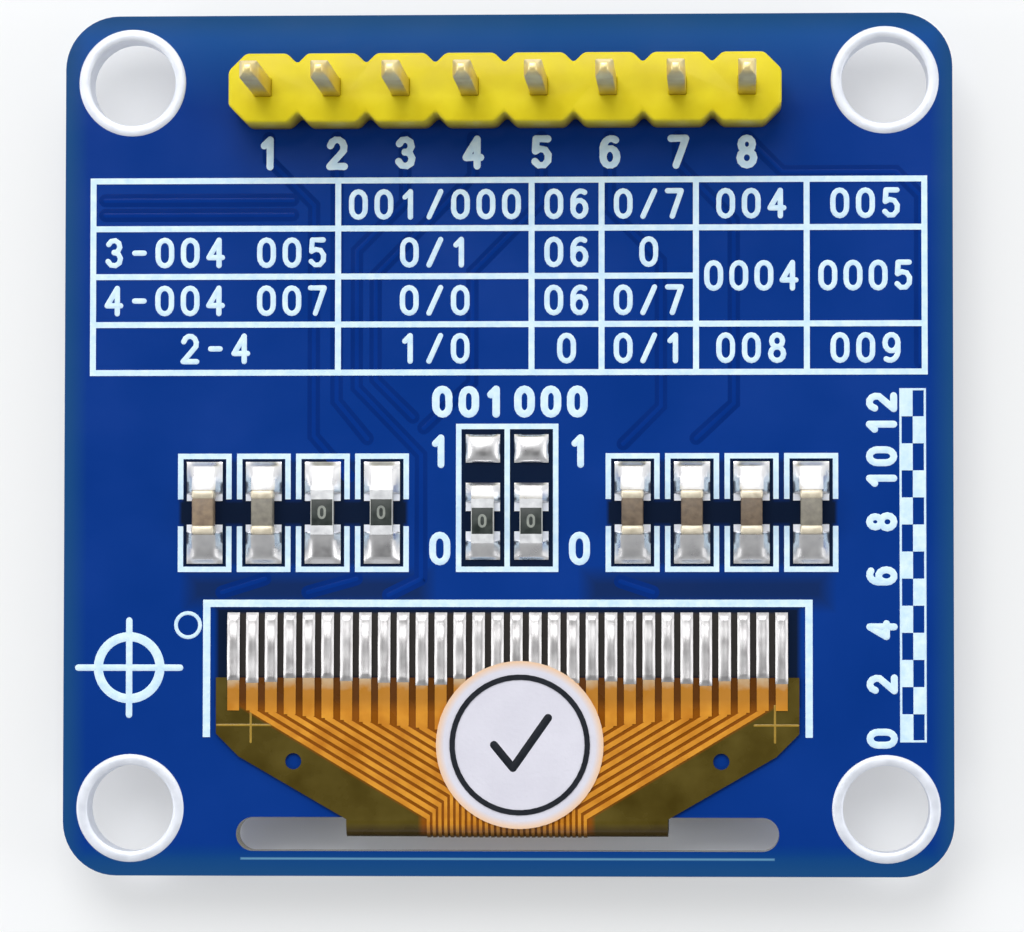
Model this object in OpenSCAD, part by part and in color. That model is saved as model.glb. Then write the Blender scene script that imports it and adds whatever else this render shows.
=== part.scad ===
// Small OLED display module: a blue carrier board with its display on one face, and on the other
// face a pin header, a row of chips and the flex tail that comes round through the board's slot.
// The display lies face down at z = 0 and the header's pins point up. Millimetres.

/* [Board] */
// Width of the board
board_w = 33; // [31:0.5:40]
// Height of the board, from its slot edge to its header edge
board_h = 32; // [31.5:0.5:40]
// Thickness of the board
board_t = 1.6; // [1:0.2:2]
// Radius of the board's corners
corner_r = 2; // [0.5:0.25:3]
// Height of tinned pads and rings above the bare board
pad_t = 0.05; // [0.04:0.01:0.08]
// Wall of the plating inside a hole
plating_t = 0.04; // [0.02:0.01:0.06]

/* [Mounting holes] */
// Diameter of the finished mounting holes
hole_d = 3.2; // [2.2:0.1:3.3]
// Distance of each hole's centre from both edges
hole_inset = 2.5; // [2.5:0.1:3]
// Width of the tinned ring round each hole
ring_w = 0.4; // [0.2:0.05:0.6]

/* [Pin header] */
// Number of pins
pin_count = 8; // [2:1:8]
// Distance from pin to pin
pin_pitch = 2.54; // [2:0.01:2.54]
// Distance of the pin row from the header edge
header_inset = 3; // [2:0.1:3.2]
// Width of the plastic body
header_w = 2.54; // [2:0.01:2.8]
// Height of the plastic body
header_h = 2.54; // [1.5:0.01:3]
// Corner cut at the ends of the plastic body
header_chamfer = 0.64; // [0.3:0.01:0.8]
// Corner cut of the notches between two neighbouring pins
header_notch = 0.38; // [0.2:0.01:0.8]
// Side of the square pins
pin_w = 0.64; // [0.5:0.01:0.66]
// Length of pin above the plastic body
pin_up = 6; // [3:0.5:12]
// Length of pin below the board
pin_stub = 1.4; // [1:0.1:1.6]
// Length of the taper at both ends of a pin
pin_taper = 0.5; // [0.2:0.1:0.8]
// Width of a pin's tip
pin_tip_w = 0.3; // [0.2:0.05:0.4]
// Diameter of the finished pin holes
pin_hole_d = 1; // [0.95:0.01:1.2]
// Width of the solder ring round each pin hole
pin_ring_w = 0.35; // [0.2:0.05:0.4]
// Length of the solder cone along a stub
pin_solder_h = 0.8; // [0.4:0.1:0.9]

/* [Slot] */
// Length of the slot for the flex tail
slot_len = 20.1; // [14:0.1:20.5]
// Width of the slot
slot_w = 1.25; // [1:0.05:1.4]
// Distance of the slot's centre line from the board's edge
slot_inset = 1.55; // [1.4:0.05:2]

/* [Flex tail] */
// Number of contact fingers
finger_count = 30; // [20:2:30]
// Distance from finger to finger
finger_pitch = 0.7; // [0.6:0.01:0.7]
// Width of a finger
finger_w = 0.44; // [0.3:0.01:0.5]
// Length of the bare, tinned fingers past the film's end
finger_len = 1.55; // [1:0.05:2]
// Length of the straight copper from the film's end to the start of the fan
straight_len = 1.22; // [0.9:0.01:1.8]
// Width of the board's pads under the fingers
flex_pad_w = 0.36; // [0.25:0.01:0.44]
// Length of the board's pads that shows past the fingers
flex_pad_reveal = 0.84; // [0.4:0.01:1.2]
// Length of the board's pads under the film
flex_pad_lap = 0.3; // [0.2:0.05:0.6]
// Thickness of the film
film_t = 0.1; // [0.07:0.01:0.14]
// Thickness of the copper on the film
copper_t = 0.035; // [0.02:0.005:0.05]
// Slope of the traces in the fan, in degrees
fan_angle = 31; // [28:0.5:33]
// Width of a trace in the fan
fan_trace_w = 0.18; // [0.1:0.01:0.2]
// Width of a trace in the neck
neck_trace_w = 0.12; // [0.06:0.01:0.14]
// Distance from trace to trace in the neck
neck_pitch = 0.215; // [0.19:0.005:0.23]
// How much lower each trace enters the fan than its outer neighbour
fan_step = 0.07; // [0.05:0.005:0.09]
// Width of the tail where it lies on the board
tail_w = 21.6; // [21.2:0.1:22]
// Width of the neck that goes through the slot
neck_w = 11.9; // [8:0.1:13]
// Slope of the tail's shoulders, in degrees
shoulder_angle = 30; // [26:0.5:31]
// Corner cut at the tail's widest point
tail_corner = 0.85; // [0.3:0.05:1.2]
// Diameter of the two tooling holes
tooling_d = 0.6; // [0.3:0.05:0.8]
// Distance of the tooling holes from the middle
tooling_x = 7.92; // [7.4:0.02:8.4]
// Inner radius of the fold over the board
fold_r = 0.5; // [0.35:0.05:0.6]
// Inner radius of the bend under the board
under_r = 0.6; // [0.3:0.05:0.7]
// Length of the bond on the display's contact ledge
bond_len = 1.3; // [0.8:0.1:1.6]

/* [Chips] */
// Length of a chip
chip_len = 1.65; // [1.4:0.05:1.7]
// Width of a chip
chip_w = 0.84; // [0.7:0.01:0.9]
// Height of a capacitor
capacitor_h = 0.8; // [0.5:0.05:0.9]
// Height of a resistor
resistor_h = 0.45; // [0.35:0.01:0.6]
// Length of the metal bands at a chip's ends
terminal_len = 0.34; // [0.2:0.01:0.4]
// Thickness of the metal bands
terminal_t = 0.03; // [0.02:0.005:0.05]
// Thickness of the dark glaze on a resistor
glaze_t = 0.04; // [0.02:0.01:0.06]
// Width of a chip's pads
chip_pad_w = 1.33; // [1:0.01:1.5]
// Length of one chip pad
chip_pad_len = 1.45; // [1.2:0.05:1.6]
// Length over both pads of a chip
chip_pads_len = 3.78; // [3.4:0.02:3.9]
// Distance from chip to chip in a group
chip_pitch = 2.2; // [2.1:0.05:2.3]
// Distance of each group's centre from the middle
chip_group_x = 7.95; // [7.4:0.05:8.2]
// Height of the solder at a capacitor's end
capacitor_solder_h = 0.5; // [0.3:0.05:0.6]
// Height of the solder at a resistor's end
resistor_solder_h = 0.34; // [0.2:0.02:0.4]

/* [Select links] */
// Distance between the two columns of link pads
link_pitch = 1.8; // [1.7:0.05:1.9]
// Distance from pad to pad in a column
link_step = 1.8; // [1.7:0.02:1.84]
// Width of a link pad
link_pad_w = 1.27; // [1:0.01:1.35]
// Length of a link pad
link_pad_len = 1.05; // [0.9:0.05:1.2]
// Height of the solder dome on an open link pad
dome_h = 0.24; // [0.1:0.02:0.4]

/* [Printed lines] */
// Thickness of the print
print_t = 0.03; // [0.02:0.005:0.05]
// Width of the table's lines
table_line = 0.22; // [0.15:0.01:0.3]
// Distance of the table's outer lines from the board's sides
table_margin = 1.05; // [0.8:0.05:1.5]
// Distance of the table's top line from the header edge
table_drop = 6.18; // [5.9:0.02:6.3]
// Height of a table row
row_h = 1.79; // [1.6:0.01:1.85]
// Widths of the table's last columns, and the first takes what is left
column_2 = 7.2; // [6:0.1:8]
// Third column
column_3 = 2.6; // [2:0.1:3]
// Fourth column
column_4 = 3.5; // [3:0.1:4]
// Fifth column
column_5 = 4.1; // [3.5:0.1:4.5]
// Sixth column
column_6 = 4.35; // [3.5:0.05:4.6]
// Width of the lines round the chips
box_line = 0.2; // [0.12:0.01:0.24]
// Width of a chip's box, between line centres
chip_box_w = 1.8; // [1.75:0.01:1.85]
// Height of a chip's box, between line centres
chip_box_h = 4.2; // [4.15:0.01:4.4]
// Length of the break in a chip box's sides
box_break = 1; // [0.4:0.05:1.6]
// Height of the link pads' box, between line centres
link_box_h = 5.3; // [5.2:0.05:5.6]
// Width of the lines round the flex tail
tail_box_line = 0.27; // [0.15:0.01:0.3]
// Gap from the tail to the centre of the line beside it
tail_box_gap = 0.36; // [0.34:0.01:0.5]
// Gap from the tail's box up to the chips' boxes, between line centres
chip_box_gap = 1.26; // [0.8:0.02:1.3]

/* [Inspection sticker] */
// Diameter of the sticker
sticker_d = 6.2; // [5:0.1:6.6]
// Thickness of the sticker
sticker_t = 0.08; // [0.05:0.01:0.15]
// Mean diameter of its printed ring
sticker_ring_d = 5; // [4:0.1:5.4]
// Width of its printed ring
sticker_ring_w = 0.2; // [0.1:0.02:0.4]
// Sideways place of the sticker
sticker_x = 0.48; // [-1:0.02:1]
// Distance of the sticker's centre from the fold
sticker_up = 2.8; // [2.7:0.05:3.5]

/* [Display] */
// Width of the display's glass
glass_w = 26.7; // [20:0.1:27]
// Height of the front glass
glass_h = 19.26; // [18:0.02:20]
// Thickness of the front glass
glass_t = 0.7; // [0.5:0.05:0.75]
// Height of the contact ledge that the rear glass leaves bare
ledge_h = 4; // [3:0.1:4.5]
// Thickness of the rear glass
rear_glass_t = 0.5; // [0.4:0.05:0.6]
// Width of the glued frame between the two glasses
seal_w = 1; // [0.6:0.05:1.5]
// Thickness of the glue between the two glasses
seal_t = 0.05; // [0.04:0.01:0.08]
// Depth of the pocket etched into the rear glass
pocket_d = 0.25; // [0.15:0.01:0.3]
// Thickness of the drying sheet in the pocket
drying_t = 0.12; // [0.05:0.01:0.14]
// Thickness of the light-giving layers on the front glass
emitter_t = 0.02; // [0.01:0.005:0.03]
// Width of the light-giving area
active_w = 21.74; // [15:0.02:22]
// Height of the light-giving area
active_h = 10.86; // [8:0.02:11.6]
// Thickness of the polarizer
polarizer_t = 0.2; // [0.15:0.01:0.3]
// Step from the rear glass's outline in to the polarizer's
polarizer_inset = 0.5; // [0.2:0.05:1]
// Distance from the slot to the front glass's ledge edge
glass_to_slot = 2.62; // [2:0.02:3]
// Thickness of the foam tape that holds the display
tape_t = 0.35; // [0.3:0.05:0.6]
// Step from the rear glass's outline in to the tape's
tape_inset = 1.2; // [0.5:0.1:2]
// Length of the driver chip
driver_w = 6.76; // [5:0.02:9]
// Height of the driver chip on the ledge
driver_h = 0.86; // [0.6:0.02:1.1]
// Thickness of the driver chip
driver_t = 0.3; // [0.2:0.02:0.4]
// Distance from the flex tail's bond to the driver chip
driver_gap = 0.55; // [0.2:0.05:0.8]

/* [Hidden] */

$fn = 64;
// Overshoot of a cutting tool past the face that it cuts
cut = 1;

// Levels, from the display's face up
glass_z = polarizer_t;
ledge_z = glass_z + glass_t;
rear_z = ledge_z + seal_t;
tape_z = rear_z + rear_glass_t;
board_z = tape_z + tape_t;
face_z = board_z + board_t;
pad_z = face_z + pad_t;
film_top_z = pad_z + film_t;
copper_top_z = film_top_z + copper_t;
under_film_z = ledge_z + copper_t;
under_top_z = under_film_z + film_t;

// Mounting holes and header
hole_x = board_w / 2 - hole_inset;
hole_y = board_h / 2 - hole_inset;
ring_d = hole_d + 2 * ring_w;
header_y = board_h / 2 - header_inset;
pin_bottom_z = board_z - pin_stub;
pin_top_z = pad_z + header_h + pin_up;
pin_lip = 0.02;
pin_lip_r = pin_w / sqrt(2) + pin_lip;
pin_ring_r = pin_hole_d / 2 + pin_ring_w;

// The slot, and the fold of the tail round its inner edge
slot_y = slot_inset - board_h / 2;
slot_edge_y = slot_y + slot_w / 2;
fold_lap = 0.12;
fold_y = slot_edge_y - fold_lap;
upright_y = fold_y - fold_r;
under_y = upright_y + under_r;

// The fan: lanes in the neck, fingers at the film's end, and the slanted stretch between them
first_live = 1;
last_live = finger_count - 2;
outer_run = finger_x(last_live) - lane_x(last_live);
fan_end_gap = 0.13;
fan_low_y = fold_y + fan_end_gap;
fan_top_y = fan_low_y + outer_run * tan(fan_angle);
film_end_y = fan_top_y + straight_len;
finger_end_y = film_end_y + finger_len;
flex_pad_top_y = finger_end_y + flex_pad_reveal;
shoulder_gap = 0.05;
shoulder_low_y = fold_y + shoulder_gap;
shoulder_top_y = shoulder_low_y + (tail_w / 2 - tail_corner - neck_w / 2) * tan(shoulder_angle);
tail_side_y = shoulder_top_y + tail_corner;
tooling_up = 1;
tooling_y = shoulder_low_y + (tooling_x - neck_w / 2) * tan(shoulder_angle) + tooling_up;

// Chips and links, stacked up from the tail's box
tail_box_top_y = flex_pad_top_y + tail_box_gap;
chip_y = tail_box_top_y + chip_box_gap + chip_box_h / 2;
chip_box_bottom_y = chip_y - chip_box_h / 2;
link_box_y = chip_box_bottom_y + link_box_h / 2;
link_low_gap = 0.88;
link_low_y = chip_box_bottom_y + link_low_gap;
link_y = link_low_y + link_step / 2;
link_pads_len = link_step + link_pad_len;
chip_per_group = 4;
link_count = 2;
glaze_w = chip_w - 2 * terminal_t;
glaze_len = chip_len - 2 * terminal_len;

// The printed table
table_top_y = board_h / 2 - table_drop;
table_right_x = board_w / 2 - table_margin;
columns = [column_2, column_3, column_4, column_5, column_6];
table_xs = concat([-table_right_x],
                  [for (i = [0 : len(columns)]) table_right_x - sum_from(columns, i)]);
table_rows = 4;
// The two last columns have one tall cell in their middle rows
tall_cell_column = 4;
tall_cell_row = 2;

// The display's stack
glass_bottom_y = slot_edge_y + glass_to_slot;
glass_y = glass_bottom_y + glass_h / 2;
rear_glass_h = glass_h - ledge_h;
cell_y = glass_bottom_y + ledge_h + rear_glass_h / 2;
bond_top_y = glass_bottom_y + bond_len;
driver_y = bond_top_y + driver_gap + driver_h / 2;
pocket_w = glass_w - 2 * seal_w;
pocket_h = rear_glass_h - 2 * seal_w;
drying_margin = 1;

function sum_from(v, i) = i >= len(v) ? 0 : v[i] + sum_from(v, i + 1);
function finger_x(i) = (i - (finger_count - 1) / 2) * finger_pitch;
function lane_x(i) = (i - (finger_count - 1) / 2) * neck_pitch;
// Place of a finger counted from the outside, 0 for the first that carries a trace
function rank(i) = min(i, finger_count - 1 - i) - first_live;
function pin_x(i) = (i - (pin_count + 1) / 2) * pin_pitch;
// Chips 0 to 3 stand left of the links and 4 to 7 right of them
function chip_x(i) = (i < chip_per_group ? -1 : 1) * chip_group_x
    + (i % chip_per_group - (chip_per_group - 1) / 2) * chip_pitch;
function link_x(i) = (i - (link_count + 1) / 2) * link_pitch;

// ---- shapes used more than once ----

module rounded_rect(w, h, r) {
    square([w - 2 * r, h], center = true);
    square([w, h - 2 * r], center = true);
    for (x = [-1, 1], y = [-1, 1])
        translate([x * (w / 2 - r), y * (h / 2 - r)]) circle(r);
}

module plate(w, h, t) {
    linear_extrude(t) square([w, h], center = true);
}

module at_mounting_holes() {
    for (x = [-hole_x, hole_x], y = [-hole_y, hole_y])
        translate([x, y, 0]) children();
}

module at_pin(i) {
    translate([pin_x(i), header_y, 0]) children();
}

// A plated hole: a thin barrel with a flat ring on both faces of the board
module plated_hole(d, flange_r) {
    r = d / 2;
    translate([0, 0, board_z])
        rotate_extrude()
            polygon([
                [r, -pad_t], [flange_r, -pad_t], [flange_r, 0], [r + plating_t, 0],
                [r + plating_t, board_t], [flange_r, board_t],
                [flange_r, board_t + pad_t], [r, board_t + pad_t]
            ]);
}

module frame(w, h, line) {
    difference() {
        square([w + line, h + line], center = true);
        square([w - line, h - line], center = true);
    }
}

module line_x(x0, x1, y, line) {
    translate([x0 - line / 2, y - line / 2]) square([x1 - x0 + line, line]);
}

module line_y(x, y0, y1, line) {
    translate([x - line / 2, y0 - line / 2]) square([line, y1 - y0 + line]);
}

// Stands a profile drawn in (y, z) up across the board, w wide and centred on x
module across(w, x = 0) {
    translate([x, 0, 0])
        rotate([90, 0, 90])
            linear_extrude(w, center = true)
                children();
}

// ---- the board ----

module slot_shape() {
    square([slot_len - slot_w, slot_w], center = true);
    for (x = [-1, 1])
        translate([x * (slot_len - slot_w) / 2, 0]) circle(slot_w / 2);
}

module board() {
    color([0.03, 0.24, 0.62])
        difference() {
            translate([0, 0, board_z])
                linear_extrude(board_t) rounded_rect(board_w, board_h, corner_r);
            at_mounting_holes()
                translate([0, 0, board_z - cut])
                    cylinder(r = hole_d / 2 + plating_t, h = board_t + 2 * cut);
            for (i = [1 : pin_count])
                at_pin(i)
                    translate([0, 0, board_z - cut])
                        cylinder(r = pin_hole_d / 2 + plating_t, h = board_t + 2 * cut);
            translate([0, slot_y, board_z - cut])
                linear_extrude(board_t + 2 * cut) slot_shape();
        }
}

module hole_plating() {
    color([0.88, 0.89, 0.92])
        at_mounting_holes() plated_hole(hole_d, ring_d / 2);
}

module pin_hole_plating() {
    color([0.88, 0.89, 0.92])
        for (i = [1 : pin_count])
            at_pin(i) plated_hole(pin_hole_d, pin_ring_r);
}

// ---- the printed lines ----

module table_lines() {
    bottom_y = table_top_y - table_rows * row_h;
    for (x = table_xs)
        line_y(x, bottom_y, table_top_y, table_line);
    for (row = [0 : table_rows]) {
        last = row == tall_cell_row ? tall_cell_column : len(table_xs) - 1;
        line_x(table_xs[0], table_xs[last], table_top_y - row * row_h, table_line);
    }
}

module chip_box() {
    difference() {
        frame(chip_box_w, chip_box_h, box_line);
        square([chip_box_w + 2 * box_line, box_break], center = true);
    }
}

module link_box() {
    frame(2 * link_pitch, link_box_h, box_line);
    square([box_line, link_box_h], center = true);
}

module tail_box() {
    side_x = tail_w / 2 + tail_box_gap;
    for (x = [-side_x, side_x])
        line_y(x, tail_side_y, tail_box_top_y, tail_box_line);
    line_x(-side_x, side_x, tail_box_top_y, tail_box_line);
}

module printed_lines() {
    color([0.93, 0.96, 1])
        translate([0, 0, face_z])
            linear_extrude(print_t) {
                table_lines();
                for (i = [0 : 2 * chip_per_group - 1])
                    translate([chip_x(i), chip_y]) chip_box();
                translate([0, link_box_y]) link_box();
                tail_box();
            }
}

// ---- the pin header ----

// The corner cut after pin i: the ends of the row are cut deeper than the notches in it
function corner_cut(i) = i == 0 || i == pin_count ? header_chamfer : header_notch;

// One side of the body's outline: a flat at pin i, from the cut before it to the cut after it
function header_flat(i, side, before, after) = [
    [pin_x(i) - side * pin_pitch / 2, side * (header_w / 2 - before)],
    [pin_x(i) - side * (pin_pitch / 2 - before), side * header_w / 2],
    [pin_x(i) + side * (pin_pitch / 2 - after), side * header_w / 2]
];
function upper_flat(i) = header_flat(i, 1, corner_cut(i - 1), corner_cut(i));
function lower_flat(i) = header_flat(i, -1, corner_cut(i), corner_cut(i - 1));

module header_outline() {
    end_x = pin_count * pin_pitch / 2;
    end_y = header_w / 2 - header_chamfer;
    polygon(concat(
        [for (i = [1 : pin_count]) each upper_flat(i)], [[end_x, end_y]],
        [for (i = [pin_count : -1 : 1]) each lower_flat(i)], [[-end_x, -end_y]]
    ));
}

module header_body() {
    color([0.93, 0.87, 0.16])
        translate([0, 0, pad_z])
            difference() {
                translate([0, header_y, 0]) linear_extrude(header_h) header_outline();
                for (i = [1 : pin_count])
                    at_pin(i)
                        translate([0, 0, -cut]) plate(pin_w, pin_w, header_h + 2 * cut);
            }
}

module pin_profile() {
    w = pin_w / 2;
    tip = pin_tip_w / 2;
    polygon([
        [-w, pin_bottom_z + pin_taper], [-tip, pin_bottom_z], [tip, pin_bottom_z],
        [w, pin_bottom_z + pin_taper], [w, pin_top_z - pin_taper], [tip, pin_top_z],
        [-tip, pin_top_z], [-w, pin_top_z - pin_taper]
    ]);
}

module header_pin(i) {
    color([0.85, 0.66, 0.3])
        if (i <= pin_count)
            at_pin(i)
                intersection() {
                    across(pin_w) pin_profile();
                    rotate([0, 0, 90]) across(pin_w) pin_profile();
                }
}

// Solder fills the plated hole round a pin and runs down its stub in a hollow cone
module pin_joint() {
    ring_z = board_z - pad_t;
    reach = pin_ring_r - pin_lip_r;
    difference() {
        union() {
            translate([0, 0, ring_z]) cylinder(d = pin_hole_d, h = pad_z - ring_z);
            translate([0, 0, ring_z - pin_solder_h])
                rotate_extrude()
                    difference() {
                        square([pin_ring_r, pin_solder_h]);
                        hollow_corner(pin_lip_r, reach, pin_solder_h);
                    }
        }
        translate([0, 0, ring_z - pin_solder_h - cut])
            plate(pin_w, pin_w, pad_z - ring_z + pin_solder_h + 2 * cut);
    }
}

// The round cut that leaves a hollow fillet: its arc runs from (x, 0) out to (x + reach, rise)
module hollow_corner(x, reach, rise) {
    r = (reach * reach + rise * rise) / (2 * reach);
    translate([x + r, 0]) circle(r);
}

module header_solder() {
    color([0.8, 0.81, 0.83])
        for (i = [1 : pin_count])
            at_pin(i) pin_joint();
}

// ---- chips, links and their solder ----

module chip_pads() {
    inner = (chip_pads_len - chip_pad_len) / 2;
    color([0.86, 0.87, 0.88])
        translate([0, 0, face_z]) {
            for (i = [0 : 2 * chip_per_group - 1], side = [-1, 1])
                translate([chip_x(i), chip_y + side * inner, 0])
                    plate(chip_pad_w, chip_pad_len, pad_t);
            for (i = [1 : link_count], step = [0 : 2])
                translate([link_x(i), link_low_y + step * link_step, 0])
                    plate(link_pad_w, link_pad_len, pad_t);
        }
}

// One end's solder: hollow from the chip's end face down to the pad's edge, and drawn in upwards
module chip_joint(end_y, pad_end_y, pad_w, rise) {
    reach = pad_end_y - end_y;
    r = (reach * reach + rise * rise) / (2 * rise);
    intersection() {
        across(pad_w)
            difference() {
                translate([end_y, 0]) square([reach, rise]);
                translate([pad_end_y, r]) circle(r);
            }
        rotate([90, 0, 0])
            linear_extrude(2 * pad_end_y + 2 * cut, center = true)
                polygon([[-pad_w / 2, 0], [pad_w / 2, 0], [chip_w / 2, rise], [-chip_w / 2, rise]]);
    }
}

module chip_joints(x, y, pads_len, pad_w, rise) {
    for (turn = [0, 180])
        translate([x, y, pad_z])
            rotate([0, 0, turn])
                chip_joint(chip_len / 2, pads_len / 2, pad_w, rise);
}

module solder_dome() {
    corner = norm([link_pad_w, link_pad_len]) / 2;
    r = (corner * corner + dome_h * dome_h) / (2 * dome_h);
    intersection() {
        plate(link_pad_w, link_pad_len, dome_h);
        translate([0, 0, dome_h - r]) sphere(r);
    }
}

module chip_solder() {
    color([0.8, 0.81, 0.83]) {
        for (i = [0 : 2 * chip_per_group - 1])
            chip_joints(chip_x(i), chip_y, chip_pads_len, chip_pad_w,
                        is_resistor(i) ? resistor_solder_h : capacitor_solder_h);
        for (i = [1 : link_count]) {
            chip_joints(link_x(i), link_y, link_pads_len, link_pad_w, resistor_solder_h);
            translate([link_x(i), link_low_y + 2 * link_step, pad_z]) solder_dome();
        }
    }
}

// The third and fourth chip from the left are resistors, and the other six are capacitors
function is_resistor(i) = i == 2 || i == 3;
capacitor_places = [for (i = [0 : 2 * chip_per_group - 1]) if (!is_resistor(i)) i];
resistor_places = [for (i = [0 : 2 * chip_per_group - 1]) if (is_resistor(i)) i];

module at_capacitor(n) {
    translate([chip_x(capacitor_places[n - 1]), chip_y, pad_z]) children();
}

module at_resistor(n) {
    translate([chip_x(resistor_places[n - 1]), chip_y, pad_z]) children();
}

module at_link(n) {
    translate([link_x(n), link_y, pad_z]) children();
}

// The ceramic block, a wall's thickness inside the chip's outline on the sides that are capped
module chip_block(side_wall, h) {
    translate([0, 0, terminal_t])
        plate(chip_w - 2 * side_wall, chip_len - 2 * terminal_t, h - 2 * terminal_t);
}

// Metal caps over both ends
module chip_caps(h) {
    for (side = [-1, 1])
        translate([0, side * (chip_len - terminal_len) / 2, 0])
            plate(chip_w, terminal_len, h);
}

module capacitor_body(n) {
    color([0.6, 0.52, 0.43])
        at_capacitor(n) chip_block(terminal_t, capacitor_h);
}

module capacitor_terminals(n) {
    color([0.82, 0.8, 0.75])
        at_capacitor(n)
            difference() {
                chip_caps(capacitor_h);
                chip_block(terminal_t, capacitor_h);
            }
}

module resistor_body() {
    color([0.9, 0.9, 0.87]) chip_block(0, resistor_h);
}

module resistor_glaze() {
    color([0.1, 0.13, 0.12])
        translate([0, 0, resistor_h - terminal_t]) plate(glaze_w, glaze_len, glaze_t);
}

// Metal bands that wrap the ends and leave the sides of the block bare
module resistor_terminals() {
    color([0.8, 0.81, 0.82])
        difference() {
            chip_caps(resistor_h);
            chip_block(-cut, resistor_h);
        }
}

// ---- the flex tail ----

module flex_pads() {
    bottom_y = film_end_y - flex_pad_lap;
    color([0.86, 0.87, 0.88])
        for (i = [0 : finger_count - 1])
            translate([finger_x(i) - flex_pad_w / 2, bottom_y, face_z])
                cube([flex_pad_w, flex_pad_top_y - bottom_y, pad_t]);
}

// The film's path through the slot, in (y, z), from one distance off its inner face to another
module wrap_profile(from, to) {
    thick = to - from;
    upright_low_z = under_top_z + under_r;
    upright_top_z = pad_z - fold_r;
    translate([fold_y, upright_top_z]) quarter_ring(fold_r + from, fold_r + to, 1);
    translate([upright_y - to, upright_low_z]) square([thick, upright_top_z - upright_low_z]);
    translate([under_y, upright_low_z]) quarter_ring(under_r + from, under_r + to, -1);
    translate([under_y, under_top_z - to]) square([bond_top_y - under_y, thick]);
}

module quarter_ring(inner, outer, side) {
    intersection() {
        difference() {
            circle(outer);
            circle(inner);
        }
        translate([-outer - cut, side > 0 ? 0 : -outer - cut]) square(outer + cut);
    }
}

module tail_shape() {
    neck = neck_w / 2;
    side = tail_w / 2;
    corner = side - tail_corner;
    polygon([
        [-neck, fold_y], [neck, fold_y], [neck, shoulder_low_y], [corner, shoulder_top_y],
        [side, tail_side_y], [side, film_end_y], [-side, film_end_y], [-side, tail_side_y],
        [-corner, shoulder_top_y], [-neck, shoulder_low_y]
    ]);
}

module flex_film() {
    color([0.5, 0.36, 0.08]) {
        translate([0, 0, pad_z])
            linear_extrude(film_t)
                difference() {
                    tail_shape();
                    for (x = [-tooling_x, tooling_x])
                        translate([x, tooling_y]) circle(d = tooling_d);
                }
        across(neck_w) wrap_profile(0, film_t);
    }
}

// A trace from its finger down into the fan, slanted to its lane, and straight on to the fold.
// It is drawn for the left half, where it slants to the right, with mitred corners.
module fan_trace(x, lane, bend_y, slope) {
    turn = 90 - slope;
    w = fan_trace_w / 2;
    n = neck_trace_w / 2;
    mitre = w * tan(turn / 2);
    lane_y = bend_y - (lane - x) * tan(slope);
    outer_s = (w * cos(turn) - n) / sin(turn);
    inner_s = (n - w * cos(turn)) / sin(turn);
    polygon([
        [x - w, film_end_y], [x - w, bend_y - mitre],
        [lane - n, lane_y - w * sin(turn) - outer_s * cos(turn)], [lane - n, fold_y],
        [lane + n, fold_y], [lane + n, lane_y + w * sin(turn) - inner_s * cos(turn)],
        [x + w, bend_y + mitre], [x + w, film_end_y]
    ]);
}

module flex_traces() {
    color([0.92, 0.62, 0.16])
        for (i = [0 : finger_count - 1]) {
            live = rank(i) >= 0;
            bend_y = fan_top_y - max(rank(i), 0) * fan_step;
            left = finger_x(i) < 0;
            translate([0, 0, film_top_z])
                linear_extrude(copper_t) {
                    translate([finger_x(i) - finger_w / 2, bend_y])
                        square([finger_w, film_end_y - bend_y]);
                    if (live)
                        mirror([left ? 0 : 1, 0])
                            fan_trace(-abs(finger_x(i)), -abs(lane_x(i)), bend_y, fan_angle);
                }
            if (live)
                across(neck_trace_w, lane_x(i)) wrap_profile(film_t, film_t + copper_t);
        }
}

// Past the film's end the copper runs on bare, soldered down flat on the board's pads
module flex_fingers() {
    color([0.88, 0.88, 0.86])
        for (i = [0 : finger_count - 1])
            translate([finger_x(i) - finger_w / 2, film_end_y, pad_z])
                cube([finger_w, finger_len, film_t + copper_t]);
}

// ---- the sticker ----

module at_sticker(z) {
    translate([sticker_x, fold_y + sticker_up, z]) children();
}

module sticker() {
    color([0.93, 0.91, 0.95])
        at_sticker(copper_top_z) cylinder(d = sticker_d, h = sticker_t);
}

module sticker_print() {
    color([0.1, 0.1, 0.14])
        at_sticker(copper_top_z + sticker_t)
            difference() {
                cylinder(d = sticker_ring_d + sticker_ring_w, h = print_t);
                translate([0, 0, -cut])
                    cylinder(d = sticker_ring_d - sticker_ring_w, h = print_t + 2 * cut);
            }
}

// ---- the display ----

module polarizer() {
    color([0.05, 0.05, 0.06])
        translate([0, cell_y, 0])
            plate(glass_w - 2 * polarizer_inset, rear_glass_h - 2 * polarizer_inset, polarizer_t);
}

module front_glass() {
    color([0.35, 0.4, 0.42])
        translate([0, glass_y, glass_z]) plate(glass_w, glass_h, glass_t);
}

module emitter_layer() {
    color([0.55, 0.56, 0.6])
        translate([0, cell_y, ledge_z]) plate(active_w, active_h, emitter_t);
}

module glass_seal() {
    color([0.75, 0.74, 0.68])
        translate([0, cell_y, ledge_z])
            linear_extrude(seal_t)
                frame(glass_w - seal_w, rear_glass_h - seal_w, seal_w);
}

module rear_glass() {
    color([0.4, 0.45, 0.47])
        translate([0, cell_y, rear_z])
            difference() {
                plate(glass_w, rear_glass_h, rear_glass_t);
                translate([0, 0, -cut]) plate(pocket_w, pocket_h, pocket_d + cut);
            }
}

module drying_sheet() {
    color([0.9, 0.9, 0.88])
        translate([0, cell_y, rear_z + pocket_d - drying_t])
            plate(pocket_w - 2 * drying_margin, pocket_h - 2 * drying_margin, drying_t);
}

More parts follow.
